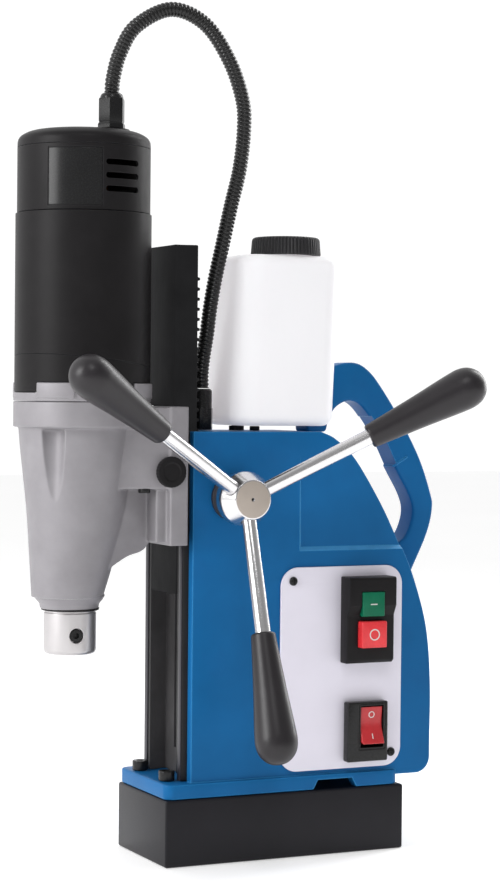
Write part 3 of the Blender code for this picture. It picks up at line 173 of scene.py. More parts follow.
def surface(
    name, colour, rough, metal=0.0, vary=0.08, vary_scale=45, grain=1600, grain_depth=0.00003,
    grain_strength=0.3, soften=0.0004, rough_vary=0.06, edge_highlight=None, stretch=None, specular=0.5,
    stain=None, ior=1.5, glow=0.0,
):
    """A finish with soft edges, a fine grain, uneven gloss and a colour that drifts a little; a
    lighter colour given for its edges is mostly a painted highlight, with a little rubbed wear.

    Depths and radii are in metres. glow is light of its own: on the dark slide and in the
    column's channel it stands in for light that the studio doesn't bounce back.
    """
    made, tree, shader = nodes_of(name)
    drift = noise(tree, vary_scale, 3.0)
    spread = remap(tree, drift, 0.3, 0.7, 0.0, 1.0)
    tone = blend_colours(tree, spread, shade(colour, 1 - vary), shade(colour, 1 + vary))
    normal = rounded_normal(tree, soften)
    if stain is not None:
        patch = remap(tree, noise(tree, vary_scale * 0.35, 5.0, 0.7), 0.52, 0.75, 0.0, 0.6)
        tone = blend_colours(tree, patch, tone, stain)
    # Lighter colour along convex and concave edges alike: a painted highlight, with a little rubbed
    # wear.
    if edge_highlight is not None:
        highlight_mask = edge_highlight_mask(tree, normal)
        tone = blend_colours(tree, highlight_mask, tone, edge_highlight)
    link(tree, tone, shader.inputs["Base Color"])
    fine = noise(tree, grain, 3.0, 0.6, stretch)
    gloss = remap(tree, fine, 0.3, 0.7, rough - rough_vary, rough + rough_vary)
    link(tree, gloss, shader.inputs["Roughness"])
    bumped(tree, shader, fine, grain_strength, grain_depth, normal)
    shader.inputs["Metallic"].default_value = metal
    shader.inputs["Specular IOR Level"].default_value = specular
    shader.inputs["IOR"].default_value = ior
    if glow:
        link(tree, tone, shader.inputs["Emission Color"])
        shader.inputs["Emission Strength"].default_value = glow
    return made


# The lighter colours given for edges below are painted highlights, with a little rubbed wear.
FINISH = {
    "base": surface("base_paint", (0.0098, 0.0092, 0.0125), 0.40, vary=0.12, vary_scale=30,
                    grain=2600, soften=0.0007, edge_highlight=(0.045, 0.045, 0.05), specular=0.24),
    "resin": surface("potting_resin", (0.10, 0.07, 0.05), 0.35, vary=0.2, grain=500),
    "copper": surface("coil_copper", (0.60, 0.27, 0.13), 0.38, 1.0, grain=2500,
                      stretch=(1, 1, 6)),
    "blue": surface("blue_paint", (0.0075, 0.123, 0.328), 0.38, vary=0.10, vary_scale=22,
                    grain=1500, grain_strength=0.22, grain_depth=0.00004, soften=0.0012,
                    edge_highlight=(0.045, 0.275, 0.58), stain=(0.012, 0.092, 0.272), specular=0.22,
                    ior=1.32),
    # Lighter blue for the ledge and side faces of the recessed field: a painted highlight of the light
    # those faces catch from above.
    "blue_lip_highlight": surface("painted_highlight_blue_lip", (0.050, 0.29, 0.60), 0.40, vary=0.12, vary_scale=60,
                        grain=1500, grain_strength=0.22, soften=0.0009, specular=0.3),
    "dark_steel": surface("blackened_steel", (0.0150, 0.0148, 0.0155), 0.42, vary=0.15,
                          grain=900, stretch=(2.2, 2.2, 0.06), grain_strength=0.35, soften=0.0006,
                          edge_highlight=(0.045, 0.045, 0.047), specular=0.22),
    # Far darker than the column's steel, nearly without gloss, and glowing: painted shade and painted
    # light that give the slide one flat tone, like the shaded channel.
    "slide": surface("slide_painted_shade_and_glow", (0.0036, 0.0036, 0.0038), 0.55, vary=0.15, grain=900,
                     stretch=(2.2, 2.2, 0.06), soften=0.0006,
                     edge_highlight=(0.0055, 0.0055, 0.0058), specular=0.02, glow=3.6),
    # A lighter copy of the column's black steel, glowing a little: painted light inside the shaded
    # channel.
    "channel": surface("channel_steel_painted_light", (0.062, 0.060, 0.062), 0.5, vary=0.15, grain=900,
                       stretch=(2.2, 2.2, 0.06), soften=0.0003, specular=0.1, glow=0.12),
    "ground_steel": surface("ground_steel", (0.034, 0.032, 0.040), 0.42, 0.3, grain=1200,
                            stretch=(2.2, 2.2, 0.05), grain_strength=0.4, soften=0.0005),
    "steel": surface("machined_steel", (0.57, 0.55, 0.555), 0.36, 0.85, vary=0.04, grain=1100,
                     stretch=(0.08, 0.08, 3.0), grain_strength=0.16, soften=0.0006),
    "hub_face": surface("hub_face_steel", (0.46, 0.40, 0.35), 0.60, 0.2, vary=0.05, grain=2200,
                        grain_strength=0.4),
    "chrome": surface("bright_chrome", (0.78, 0.77, 0.78), 0.20, 1.0, vary=0.02, grain=700,
                      grain_strength=0.08, grain_depth=0.00001, soften=0.0003, rough_vary=0.03),
    "casting": surface("blasted_casting", (0.285, 0.273, 0.290), 0.50, 0.20, vary=0.07,
                       vary_scale=60, grain=2000, grain_strength=0.45, grain_depth=0.00006,
                       soften=0.0010, edge_highlight=(0.46, 0.45, 0.465), stain=(0.245, 0.235, 0.250),
                       specular=0.4),
    "plastic": surface("black_plastic", (0.0115, 0.0106, 0.0114), 0.43, vary=0.15, grain=2400,
                       grain_depth=0.00004, soften=0.0005,
                       edge_highlight=(0.028, 0.028, 0.030), specular=0.14),
    "gloss_black": surface("glossy_black", (0.012, 0.012, 0.0125), 0.26, vary=0.10, grain=1800,
                           grain_strength=0.12, soften=0.0005, specular=0.30),
    "grip": surface("grip_plastic", (0.0165, 0.0140, 0.0165), 0.38, vary=0.12, vary_scale=60,
                    grain=1500, grain_strength=0.25, grain_depth=0.00004, specular=0.42),
    "panel": surface("panel_enamel", (0.80, 0.77, 0.865), 0.36, vary=0.025, vary_scale=30,
                     grain=1800, grain_strength=0.15, edge_highlight=(0.88, 0.87, 0.90)),
    "green": surface("green_button", (0.003, 0.145, 0.072), 0.33, vary_scale=160, grain=2600,
                     grain_strength=0.2, soften=0.0006, edge_highlight=(0.03, 0.30, 0.16), specular=0.2),
    "rocker_red": surface("rocker_red", (0.52, 0.026, 0.032), 0.30, vary_scale=160, grain=2600,
                          grain_strength=0.2, soften=0.0006, edge_highlight=(0.70, 0.12, 0.12)),
    "red": surface("red_button", (0.80, 0.036, 0.046), 0.30, vary_scale=160, grain=2600,
                   grain_strength=0.2, soften=0.0006, edge_highlight=(0.80, 0.13, 0.13)),
    "mark": surface("white_mark", (0.74, 0.72, 0.70), 0.45, vary=0.05, vary_scale=300,
                    grain=2600, grain_strength=0.2, soften=0.0001),
    "board": surface("circuit_board", (0.02, 0.20, 0.08), 0.45, vary=0.3, vary_scale=300),
    "conduit": surface("conduit_plastic", (0.011, 0.011, 0.011), 0.26, vary=0.12, grain=1800,
                       grain_strength=0.2, soften=0.0002, specular=0.40),
    "cap": surface("cap_plastic", (0.017, 0.0165, 0.0185), 0.44, vary=0.12, grain=2400,
                   grain_strength=0.35, edge_highlight=(0.04, 0.04, 0.041), specular=0.35),
}


def tank_plastic():
    """Milky blow-moulded plastic: light passes a little way in, and the wall is a bit uneven. It glows
    a little, painted light, and is lighter along its edges, a painted highlight.
    """
    made, tree, shader = nodes_of("tank_plastic")
    cloud = noise(tree, 38, 4.0, 0.6, (1.0, 1.0, 0.35))
    tone = blend_colours(tree, remap(tree, cloud, 0.3, 0.7, 0.0, 1.0),
                         (0.86, 0.845, 0.865), (0.92, 0.915, 0.93))
    normal = rounded_normal(tree, 0.0012)
    # Lighter along the tank's edges: a painted highlight.
    tone = blend_colours(tree, edge_highlight_mask(tree, normal, 0.999, 0.93), tone, (0.90, 0.885, 0.895))
    link(tree, tone, shader.inputs["Base Color"])
    fine = noise(tree, 900, 3.0, 0.6)
    link(tree, remap(tree, fine, 0.3, 0.7, 0.38, 0.50), shader.inputs["Roughness"])
    wave = noise(tree, 60, 2.0, 0.5)
    ripple = bumped(tree, shader, wave, 0.25, 0.0003, normal)
    bumped(tree, shader, fine, 0.2, 0.00003, ripple)
    shader.inputs["Subsurface Weight"].default_value = 0.75
    shader.inputs["Subsurface Radius"].default_value = (0.026, 0.023, 0.023)
    shader.inputs["Subsurface Scale"].default_value = 1.0
    # The tank glows a little: painted light that lifts its shaded sides.
    link(tree, tone, shader.inputs["Emission Color"])
    shader.inputs["Emission Strength"].default_value = 0.19
    shader.inputs["Specular IOR Level"].default_value = 0.4
    return made


FINISH["tank"] = tank_plastic()

# Mesh tools ------------------------------------------------------------------


def scratch(mesh, place=None):
    made = bpy.data.objects.new("scratch", mesh)
    if place is not None:
        made.matrix_world = place
    bpy.context.scene.collection.objects.link(made)
    return made


def settle(obj):
    """Applies an object's modifiers and its placing, and returns a new unplaced object."""
    graph = bpy.context.evaluated_depsgraph_get()
    graph.update()
    seen = obj.evaluated_get(graph)
    mesh = bpy.data.meshes.new_from_object(seen, preserve_all_data_layers=True, depsgraph=graph)
    mesh.transform(obj.matrix_world)
    bpy.data.objects.remove(obj, do_unlink=True)
    return scratch(mesh)


def from_work(work):
    bmesh.ops.recalc_face_normals(work, faces=work.faces)
    mesh = bpy.data.meshes.new("scratch")
    work.to_mesh(mesh)
    work.free()
    return scratch(mesh)


def block(low, high):
    low, high = Vector(low), Vector(high)
    work = bmesh.new()
    bmesh.ops.create_cube(work, size=1.0)
    bmesh.ops.scale(work, vec=high - low, verts=work.verts)
    bmesh.ops.translate(work, vec=(low + high) / 2, verts=work.verts)
    return from_work(work)


def facing(centre, direction):
    turn = Vector(direction).to_track_quat("Z", "Y").to_matrix().to_4x4()
    return Matrix.Translation(centre) @ turn


def rod(radius, start, end, sides=48, end_radius=None):
    start, end = Vector(start), Vector(end)
    work = bmesh.new()
    bmesh.ops.create_cone(
        work, cap_ends=True, segments=sides, radius1=radius,
        radius2=radius if end_radius is None else end_radius, depth=(end - start).length,
        matrix=facing((start + end) / 2, end - start),
    )
    return from_work(work)


def lathe(profile, base, direction, steps=96, closed=False, section=None):
    """A profile of (radius, height) turned about direction; section(angle, height) scales radii."""
    place = facing(base, direction)
    work = bmesh.new()
    rings = []
    for radius, height in profile:
        if radius < 1e-7:
            rings.append([work.verts.new(place @ Vector((0, 0, height)))])
            continue
        ring = []
        for i in range(steps):
            angle = math.tau * i / steps
            r = radius * (section(angle, height) if section else 1.0)
            ring.append(work.verts.new(place @ Vector((r * math.cos(angle), r * math.sin(angle),
                                                       height))))
        rings.append(ring)
    pairs = list(zip(rings, rings[1:]))
    if closed:
        pairs.append((rings[-1], rings[0]))
    for a, b in pairs:
        for i in range(steps):
            j = (i + 1) % steps
            if len(a) == 1 and len(b) == 1:
                continue
            if len(a) == 1:
                work.faces.new((a[0], b[i], b[j]))
            elif len(b) == 1:
                work.faces.new((a[i], b[0], a[j]))
            else:
                work.faces.new((a[i], b[i], b[j], a[j]))
    return from_work(work)


PLANES = {
    "XY": Matrix.Identity(4),
    "XZ": Matrix.Rotation(math.pi / 2, 4, "X"),
    "YZ": Matrix.Rotation(math.pi / 2, 4, "Z") @ Matrix.Rotation(math.pi / 2, 4, "X"),
}
NORMALS = {"XY": Vector((0, 0, 1)), "XZ": Vector((0, 1, 0)), "YZ": Vector((1, 0, 0))}


def slab(outlines, plane, low, high):
    """A flat outline, with any further outlines as holes, extruded along the plane's normal."""
    curve = bpy.data.curves.new("scratch", "CURVE")
    curve.dimensions = "2D"
    curve.fill_mode = "BOTH"
    curve.extrude = (high - low) / 2
    for outline in outlines:
        spline = curve.splines.new("POLY")
        spline.points.add(len(outline) - 1)
        for point, (across, up) in zip(spline.points, outline):
            point.co = (across, up, 0.0, 1.0)
        spline.use_cyclic_u = True
    flat = bpy.data.objects.new("scratch", curve)
    bpy.context.scene.collection.objects.link(flat)
    flat.matrix_world = Matrix.Translation(NORMALS[plane] * (low + high) / 2) @ PLANES[plane]
    made = settle(flat)
    work = bmesh.new()
    work.from_mesh(made.data)
    bpy.data.objects.remove(made, do_unlink=True)
    bmesh.ops.remove_doubles(work, verts=work.verts, dist=0.000001)
    bmesh.ops.dissolve_limit(
        work, angle_limit=math.radians(0.2), verts=work.verts, edges=work.edges
    )
    return from_work(work)


def combined(target, tools, operation):
    for tool in tools:
        modifier = target.modifiers.new("b", "BOOLEAN")
        modifier.operation = operation
        modifier.object = tool
        modifier.solver = "EXACT"
    made = settle(target)
    for tool in tools:
        bpy.data.objects.remove(tool, do_unlink=True)
    return made


def cut(target, *tools):
    return combined(target, tools, "DIFFERENCE")


def join(target, *tools):
    return combined(target, tools, "UNION")


def rounded(obj, width, segments=4, angle=40):
    modifier = obj.modifiers.new("bevel", "BEVEL")
    modifier.width = width
    modifier.segments = segments
    modifier.limit_method = "ANGLE"
    modifier.angle_limit = math.radians(angle)
    return settle(obj)


def remeshed(obj, voxel, passes):
    """A casting's skin: an even mesh whose inner and outer corners are run soft."""
    modifier = obj.modifiers.new("voxels", "REMESH")
    modifier.mode = "VOXEL"
    modifier.voxel_size = voxel
    relax = obj.modifiers.new("relax", "SMOOTH")
    relax.iterations = passes
    return settle(obj)


def arc(centre, radius, start, end, count):
    angles = [math.radians(start + (end - start) * i / (count - 1)) for i in range(count)]
    return [(centre[0] + radius * math.cos(a), centre[1] + radius * math.sin(a)) for a in angles]


def rounded_rectangle(low, high, radius, count=8):
    left, bottom = low[0] + radius, low[1] + radius
    right, top = high[0] - radius, high[1] - radius
    return (
        arc((right, bottom), radius, -90, 0, count) + arc((right, top), radius, 0, 90, count)
        + arc((left, top), radius, 90, 180, count) + arc((left, bottom), radius, 180, 270, count)
    )


def smooth(route, each):
    """Points on a Catmull-Rom curve through route, each of them per stretch."""
    route = [Vector(point) for point in route]
    ends = [2 * route[0] - route[1], *route, 2 * route[-1] - route[-2]]
    points = []
    for a, b, c, d in zip(ends, ends[1:], ends[2:], ends[3:]):
        for i in range(each):
            t = i / each
            points.append(
                0.5 * (2 * b + (c - a) * t + (2 * a - 5 * b + 4 * c - d) * t**2
                       + (3 * b - a - 3 * c + d) * t**3)
            )
    return [tuple(point) for point in points] + [tuple(route[-1])]


def knurl(depth, count, above):
    """A section for lathe: count shallow grooves, above the given height."""
    return lambda a, h: 1 - depth * max(0.0, math.cos(count * a)) ** 2 if h > above else 1.0


def hexagon(below):
    """A section for lathe: a hexagon with rounded corners, below the given height."""
    return lambda a, h: 0.93 / math.cos(a % (math.pi / 3) - math.pi / 6) if h < below else 1.0


def eased(profile, corner=0.0006, count=4):
    """The profile with each sharp corner turned into a small curve."""
    points = [profile[0]]
    for before, here, after in zip(profile, profile[1:], profile[2:]):
        a, b, c = Vector(before), Vector(here), Vector(after)
        into, out = a - b, c - b
        if into.length < 1e-6 or out.length < 1e-6 or into.angle(out) > math.radians(165):
            points.append(here)
            continue
        reach = min(corner, into.length * 0.45, out.length * 0.45)
        p, q = b + into.normalized() * reach, b + out.normalized() * reach
        for i in range(count + 1):
            t = i / count
            points.append(tuple((1 - t) ** 2 * p + 2 * t * (1 - t) * b + t**2 * q))
    points.append(profile[-1])
    return points


def piece(name, obj, body, finish, slot, *nodes, angle=35):
    """Names a finished shape, gives it its finish, ties it to its body and hides the CAD nodes that it
    stands in for.
    """
    obj.name = name
    obj.data.name = name
    obj.data.materials.clear()
    obj.data.materials.append(FINISH[finish])
    obj.data.polygons.foreach_set("material_index", [0] * len(obj.data.polygons))
    obj.data.shade_smooth()
    obj.data.set_sharp_from_angle(angle=math.radians(angle))
    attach(obj, body)
    if nodes:
        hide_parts(*nodes)
    return obj


def copy_of(node):
    """The CAD node's own shape as a new object, with its doubled corners merged."""
    work = bmesh.new()
    work.from_mesh(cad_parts[node].data)
    bmesh.ops.remove_doubles(work, verts=work.verts, dist=0.000002)
    bmesh.ops.dissolve_limit(
        work, angle_limit=math.radians(0.3), verts=work.verts, edges=work.edges
    )
    return from_work(work)


# Electromagnet ---------------------------------------------------------------


def magnet():
    """The block, with the ring slot of the winding in its underside."""
    body = rounded(block((-0.0825, -0.0385, 0), (0.0825, 0.0385, 0.041)), 0.0014, 4)
    slot = slab([rounded_rectangle((-0.066, -0.027), (0.066, 0.027), 0.008),
                 rounded_rectangle((-0.050, -0.011), (0.050, 0.011), 0.004)], "XY", -0.001, 0.031)
    holes = [rod(0.0033, (FOOT_SCREW_X, y, 0.026), (FOOT_SCREW_X, y, 0.045), 24)
             for y in FOOT_SCREW_Y]
    piece("electromagnet_body", cut(body, slot, *holes), "stand", "base", "base_black",
          "magnet_body")


def foot_screws():
    profile = eased([(0.0, 0.0064), (0.0050, 0.0064), (0.0050, 0.0003), (0.0030, 0.0003),
                     (0.0030, -0.0235), (0.0, -0.0235)])
    for index, y in enumerate(FOOT_SCREW_Y, 1):
        screw = lathe(profile, (FOOT_SCREW_X, y, FOOT_TOP), (0, 0, 1), 48,
                      section=lambda a, h: 1 + 0.012 * math.cos(24 * a) if h > 0.001 else 1.0)
        screw = cut(screw, rod(0.0029, (FOOT_SCREW_X, y, 0.0530), (FOOT_SCREW_X, y, 0.0600), 6))
        piece(f"foot_cap_screw_{index}", screw, "stand", "gloss_black", "black_steel",
              f"foot_screw_{index}", angle=28)


# Housing ---------------------------------------------------------------------

REAR_ROUTE = (
    (0.0230, 0.2660), (0.0335, 0.2612), (0.0475, 0.2485), (0.0665, 0.2205), (0.0790, 0.1975),
    (0.0900, 0.1740), (0.1000, 0.1410), (HOUSING_REAR, 0.1050), (HOUSING_REAR, 0.0640),
)


def housing_outline(inset=0.0, each=6):
    """The curved back of the housing, from its top down to the rounded lower corner."""
    rear = [(x - inset, z - inset * 0.45) for x, z in smooth(REAR_ROUTE, each)]
    rear[0] = (rear[0][0], HOUSING_TOP - inset)
    return rear + arc((HOUSING_REAR - inset - 0.010, 0.057 + inset), 0.010, 0, -90, 12)


def side_fields():
    """What is cut from each side: the shallow recessed field and the bush's hole."""
    tools = []
    for side in (-1, 1):
        wedge = [(side * y, z) for y, z in ((0.0326, 0.1938), (0.0352, 0.2560), (0.0500, 0.2560),
                                            (0.0500, 0.1911), (0.0353, 0.1911))]
        field = slab([wedge], "YZ", 0.0082, 0.1200)
        for corner in field.data.vertices:
            if corner.co.x < 0.01 and abs(corner.co.y) < 0.034:
                corner.co.x += 0.0022
        tools.append(field)
        start, end = (PINION[0], side * 0.028, PINION[1]), (PINION[0], side * 0.040, PINION[1])
        tools.append(rod(0.0113, start, end, 64))
    return tools


def switch_openings(front, back):
    return [block((low[0], front, low[1]), (high[0], back, high[1]))
            for low, high in SWITCH_OPENINGS]


def housing():
    outline = [(HOUSING_FRONT, HOUSING_TOP)] + housing_outline()
    outline += [(0.070, 0.0470), (0.070, FOOT_TOP - 0.004), (HOUSING_FRONT, FOOT_TOP - 0.004)]
    body = rounded(slab([outline], "XZ", -HALF_WIDTH, HALF_WIDTH), 0.0042, 6, 50)
    foot = slab([rounded_rectangle((-0.0822, -0.0380), (0.0795, 0.0380), 0.006)], "XY", 0.0413,
                FOOT_TOP)
    body = join(body, rounded(foot, 0.0011, 3, 50))
    rear = housing_outline(0.0055, 3)
    hollow = [(-0.0485, rear[0][1])] + rear
    hollow += [(0.070, rear[-1][1]), (0.070, 0.030), (-0.0485, 0.030)]
    inside = slab([hollow], "XZ", -0.0305, 0.0305)
    half = COLUMN_HALF + 0.0003
    pocket = block((-0.090, -half, FOOT_TOP), (-0.052, half, 0.280))
    slot = block((-0.060, -0.0096, 0.062), (-0.0460, 0.0096, 0.290))
    notch = [(0.0175, 0.040), (0.050, 0.040), (0.0457, 0.0474), (0.0215, 0.0474)]
    tools = [inside, pocket, slot, *side_fields(), slab([notch], "XZ", -0.045, 0.045)]
    tools += switch_openings(-0.038, -0.028)
    for y in FOOT_SCREW_Y:
        tools.append(rod(0.0034, (FOOT_SCREW_X, y, 0.039), (FOOT_SCREW_X, y, 0.054), 32))
    for _, x, z in PANEL_SCREWS:
        tools.append(rod(0.0020, (x, -0.028, z), (x, -0.038, z), 24))
    tools.append(rod(0.0046, (*HOUSING_GLAND, 0.255), (*HOUSING_GLAND, 0.275), 32))
    tools.append(rod(0.0063, (0.090, *MAINS_GLAND), (0.110, *MAINS_GLAND), 32))
    body = cut(body, *tools)
    piece("blue_housing", body, "stand", "blue", "blue_paint", "main_housing", angle=30)
    # The recessed field's ledge and side faces get the lighter blue: a painted highlight.
    body.data.materials.append(FINISH["blue_lip_highlight"])
    for face in body.data.polygons:
        spot, way = face.center, face.normal
        lip = 0.1905 < spot.z < 0.1945 and way.z > 0.4
        side = spot.x < 0.0106 and 0.4 < way.x < 0.99
        if (lip or side) and spot.x > 0.0080 and 0.0315 < abs(spot.y) < 0.0352:
            face.material_index = 1


def handle():
    outer = smooth(
        ((0.0262, 0.2655), (0.0264, 0.2850), (0.0335, 0.3010), (0.0480, 0.3085),
         (0.0607, 0.3100), (0.0702, 0.3055), (0.0795, 0.2955), (0.0950, 0.2732),
         (0.1090, 0.2488), (0.1175, 0.2265), (0.1193, 0.2155), (0.1152, 0.1985),
         (0.1035, 0.1740)), 5)
    inner = smooth(
        ((0.0780, 0.1880), (0.0930, 0.1930), (0.1005, 0.2000), (0.1045, 0.2130),
         (0.1015, 0.2245), (0.0915, 0.2415), (0.0797, 0.2636), (0.0672, 0.2806),
         (0.0576, 0.2855), (0.0480, 0.2820), (0.0425, 0.2745), (0.0400, 0.2655)), 5)
    made = slab([outer + [(0.0930, 0.1600)] + inner], "XZ", -0.009, 0.009)
    made = rounded(made, 0.0060, 6, 50)
    rear = [(x + 0.0004, z + 0.0003) for x, z in housing_outline()]
    seat = [(HOUSING_FRONT, HOUSING_TOP + 0.0003)] + rear + [(0.060, 0.047), (HOUSING_FRONT, 0.047)]
    made = cut(made, slab([seat], "XZ", -0.030, 0.030))
    notch = [(0.0727, 0.2760), (0.0765, 0.2708), (0.0814, 0.2640), (0.0872, 0.2534),
             (0.0921, 0.2438), (0.0840, 0.2390), (0.0640, 0.2700)]
    made = cut(made, rounded(slab([notch], "XZ", -0.02, 0.02), 0.0006, 2, 50))
    seam = rounded(block((-0.0072, -0.0006, -0.0006), (0.0052, 0.0006, 0.0006)), 0.0004, 3)
    seam.data.transform(Matrix.Translation((0.0948, -0.0090, 0.2466))
                        @ Matrix.Rotation(math.radians(-30), 4, "Y"))
    made = join(made, seam)
    piece("blue_carry_handle", made, "stand", "blue", "blue_paint", "carry_handle", angle=32)


def column():
    half, low, high = COLUMN_HALF, FOOT_TOP + 0.0003, HOUSING_TOP
    made = block((COLUMN_FRONT, -half, low), (-0.0523, half, high))
    made = rounded(made, 0.0010, 3)
    slope = 0.003 / 0.0118
    front, back = -0.0728, -0.0567
    at_front, at_back = (0.0200 + slope * (x + 0.0688) for x in (front, back))
    gib, play = 0.0026, 0.0003
    channel = slab([[(front, -at_front - gib), (back, -at_back - gib), (back, at_back + play),
                     (front, at_front + play)]], "XY", 0.04, 0.28)
    window = block((-0.061, -0.0096, 0.066), (-0.045, 0.0096, 0.290))
    made = cut(made, channel, window)
    piece("guide_column_ways", made, "stand", "dark_steel", "black_steel", "guide_column")
    # Faces inside the channel get the lighter glowing steel: painted light that lifts the channel's
    # shade.
    made.data.materials.append(FINISH["channel"])
    for face in made.data.polygons:
        if abs(face.center.y) < 0.0270 and face.center.x > -0.0682 and face.normal.x < 0.5:
            face.material_index = 1
    for index, y in enumerate((-0.0262, 0.0262)):
        lip = rounded(block((-0.06905, y - 0.0023, low + 0.0002), (-0.0684, y + 0.0023, 0.2655)),
                      0.0003, 2)
        piece(f"ground_way_{index + 1}", lip, "stand", "ground_steel", "black_steel")


def gib_and_post():
    for node, finish, slot in (("gib_strip", "dark_steel", "bronze"),
                               ("tank_post", "plastic", "black_plastic")):
        made = rounded(copy_of(node), 0.0005, 2, 30)
        piece(node + "_finished", made, "stand", finish, slot, node)


def slide_and_rack():
    """The slide with the block that the gearbox hangs on, and the rack behind it."""
    slide = rounded(copy_of("slide_rail"), 0.0005, 2, 30)
    for corner in slide.data.vertices:
        if corner.co.z > 0.378:
            corner.co.z += 0.0012
    mount = rounded(block((-0.0716, -0.0198, 0.2815), (-0.0670, 0.0200, 0.3807)), 0.0006, 2, 30)
    slide = join(slide, mount)
    # The slide's finish is painted shade and painted light: darkened, and glowing at a fixed tone.
    piece("slide_rail_finished", slide, "carriage", "slide", "black_steel", "slide_rail")
    rack = rounded(copy_of("feed_rack"), 0.00018, 2, 25)
    piece("feed_rack_finished", rack, "carriage", "dark_steel", "steel", "feed_rack", angle=20)


def bushes():
    profile = [(0.0142, 0.0375), (0.0142, 0.0353), (0.0110, 0.0353), (0.0110, 0.0295),
               (0.0083, 0.0295), (0.0083, 0.0375), (0.0142, 0.0375)]
    for side, name in ((-1, "near"), (1, "far")):
        bush = lathe(eased(profile, 0.0004)[:-1], (PINION[0], 0, PINION[1]), (0, side, 0), 72,
                     closed=True)
        piece(f"shaft_bush_{name}", bush, "stand", "ground_steel", "bronze", f"pinion_bush_{name}")


# Gearbox ---------------------------------------------------------------------

# (height, centre's X, radius) up the cone of the gearbox
CASTING_RINGS = (
    (0.1573, -0.1313, 0.0186), (0.1605, -0.1326, 0.0212), (0.1640, -0.1330, 0.0219),
    (0.1860, -0.1304, 0.0257), (0.2190, -0.1276, 0.0306), (0.2564, -0.1276, 0.0347),
    (0.2720, -0.1272, 0.0362),
)


def lofted(rings):
    """A skin through level circles, each given as (height, centre's X, radius)."""
    work = bmesh.new()
    levels = []
    steps = 96
    for height, centre, radius in rings:
        level = []
        for i in range(steps):
            angle = math.tau * i / steps
            spot = (centre + radius * math.cos(angle), radius * math.sin(angle), height)
            level.append(work.verts.new(spot))
        levels.append(level)
    for low, high in zip(levels, levels[1:]):
        for i in range(steps):
            j = (i + 1) % steps
            work.faces.new((low[i], low[j], high[j], high[i]))
    work.faces.new(levels[0][::-1])
    work.faces.new(levels[-1])
    return from_work(work)


def around_motor(radius, degrees):
    angle = math.radians(degrees)
    return MOTOR_X + radius * math.cos(angle), radius * math.sin(angle)


def casting_blank():
    """The cone, the band under the motor, the bracket, its web and its two ribs in one."""
    cone = [(z, x, r) for z, x, r in smooth(CASTING_RINGS[2:], 5)]
    casting = lofted(list(CASTING_RINGS[:2]) + cone)
    band = rod(0.0421, (MOTOR_X, 0, 0.2680), (MOTOR_X, 0, 0.2836), 128)
    back = block((-0.0810, -0.0378, 0.1965), (-0.0691, 0.0378, 0.2812))
    near_side = [(-0.1240, -0.0240), (-0.0805, -0.0366), (-0.0760, -0.0366)]
    upper = slab([near_side + [(x, -y) for x, y in reversed(near_side)]], "XY", 0.2310, 0.2806)
    web_outline = [(-0.1180, 0.1780)] + smooth(
        ((-0.1080, 0.1850), (-0.1000, 0.1895), (-0.0910, 0.1925), (-0.0860, 0.1980)), 4
    ) + [(-0.0760, 0.2000), (-0.0760, 0.2400), (-0.1180, 0.2400)]
    web = slab([web_outline], "XZ", -0.018, 0.018)
    ribs = []
    for side in (-1, 1):
        low, high = sorted((side * 0.016, side * 0.0322))
        ribs.append(block((-0.0880, low, 0.1985), (-0.0800, high, 0.2330)))
    return join(casting, band, back, upper, web, *ribs)


def casting_bores():
    """What is cut from the casting for the spindle, the gears, the motor and the knob."""
    bore = lathe([(0.0, 0.262), (0.0168, 0.262), (0.0168, 0.2455), (0.0130, 0.2455),
                  (0.0130, 0.1785), (0.0168, 0.1785), (0.0168, 0.150), (0.0, 0.150)],
                 (SPINDLE_X, 0, 0), (0, 0, 1), 64)
    gears = rod(0.0212, (SPINDLE_X, 0, 0.2588), (SPINDLE_X, 0, 0.300), 64)
    case = rod(0.0330, (MOTOR_X, 0, 0.2757), (MOTOR_X, 0, 0.300), 64)
    lay = rod(0.0092, (*LAY_SHAFT, 0.2588), (*LAY_SHAFT, 0.300), 32)
    lay_room = rod(0.0189, (*LAY_SHAFT, 0.2757), (*LAY_SHAFT, 0.300), 48)
    knob_hole = rod(0.0034, (KNOB_X, -0.040, KNOB_Z), (KNOB_X, -0.022, KNOB_Z), 24)
    return bore, gears, case, lay, lay_room, knob_hole


def gearbox():
    pockets = []
    for angle in (-138.5, 138.5):
        high, low = around_motor(0.0390, angle), around_motor(0.0428, angle)
        pockets.append(rod(0.0077, (*low, 0.1950), (*high, 0.2672), 48))
    casting = cut(casting_blank(), *pockets)
    casting = remeshed(casting, 0.00062, 4)
    casting = cut(casting, block((-0.16, -0.03, 0.150), (-0.10, 0.03, 0.1644)))
    nose = [(0.0, 0.1670), (0.0205, 0.1670), (0.0217, 0.1654), (0.0216, 0.1646), (0.0204, 0.1626),
            (0.0187, 0.1607), (0.0183, 0.1598), (0.0180, 0.1580), (0.0175, 0.1573), (0.0, 0.1573)]
    casting = join(casting, lathe(nose, (-0.1316, 0, 0), (0, 0, 1), 128))
    casting = cut(casting, *casting_bores())
    piece("gearbox_casting", casting, "carriage", "casting", "cast_aluminium", "gearbox_housing",
          angle=50)
    profile = eased([(0.0, 0.2312), (0.0037, 0.2312), (0.0037, 0.2286), (0.0, 0.2286)], 0.0004)
    for index, y in enumerate((-0.0290, 0.0290)):
        screw = lathe(profile, (-0.0946, y, 0), (0, 0, 1), 48)
        screw = cut(screw, rod(0.0018, (-0.0946, y, 0.2270), (-0.0946, y, 0.2300), 6))
        piece(f"bracket_screw_{index + 1}", screw, "carriage", "gloss_black", "black_steel")
    seal = lathe(eased([(0.0180, 0.1574), (0.0176, 0.1562), (0.0163, 0.1562), (0.0163, 0.1574),
                        (0.0180, 0.1574)], 0.0003)[:-1], (SPINDLE_X, 0, 0), (0, 0, 1), 96,
                 closed=True)
    piece("spindle_seal", seal, "carriage", "plastic", "black_plastic")


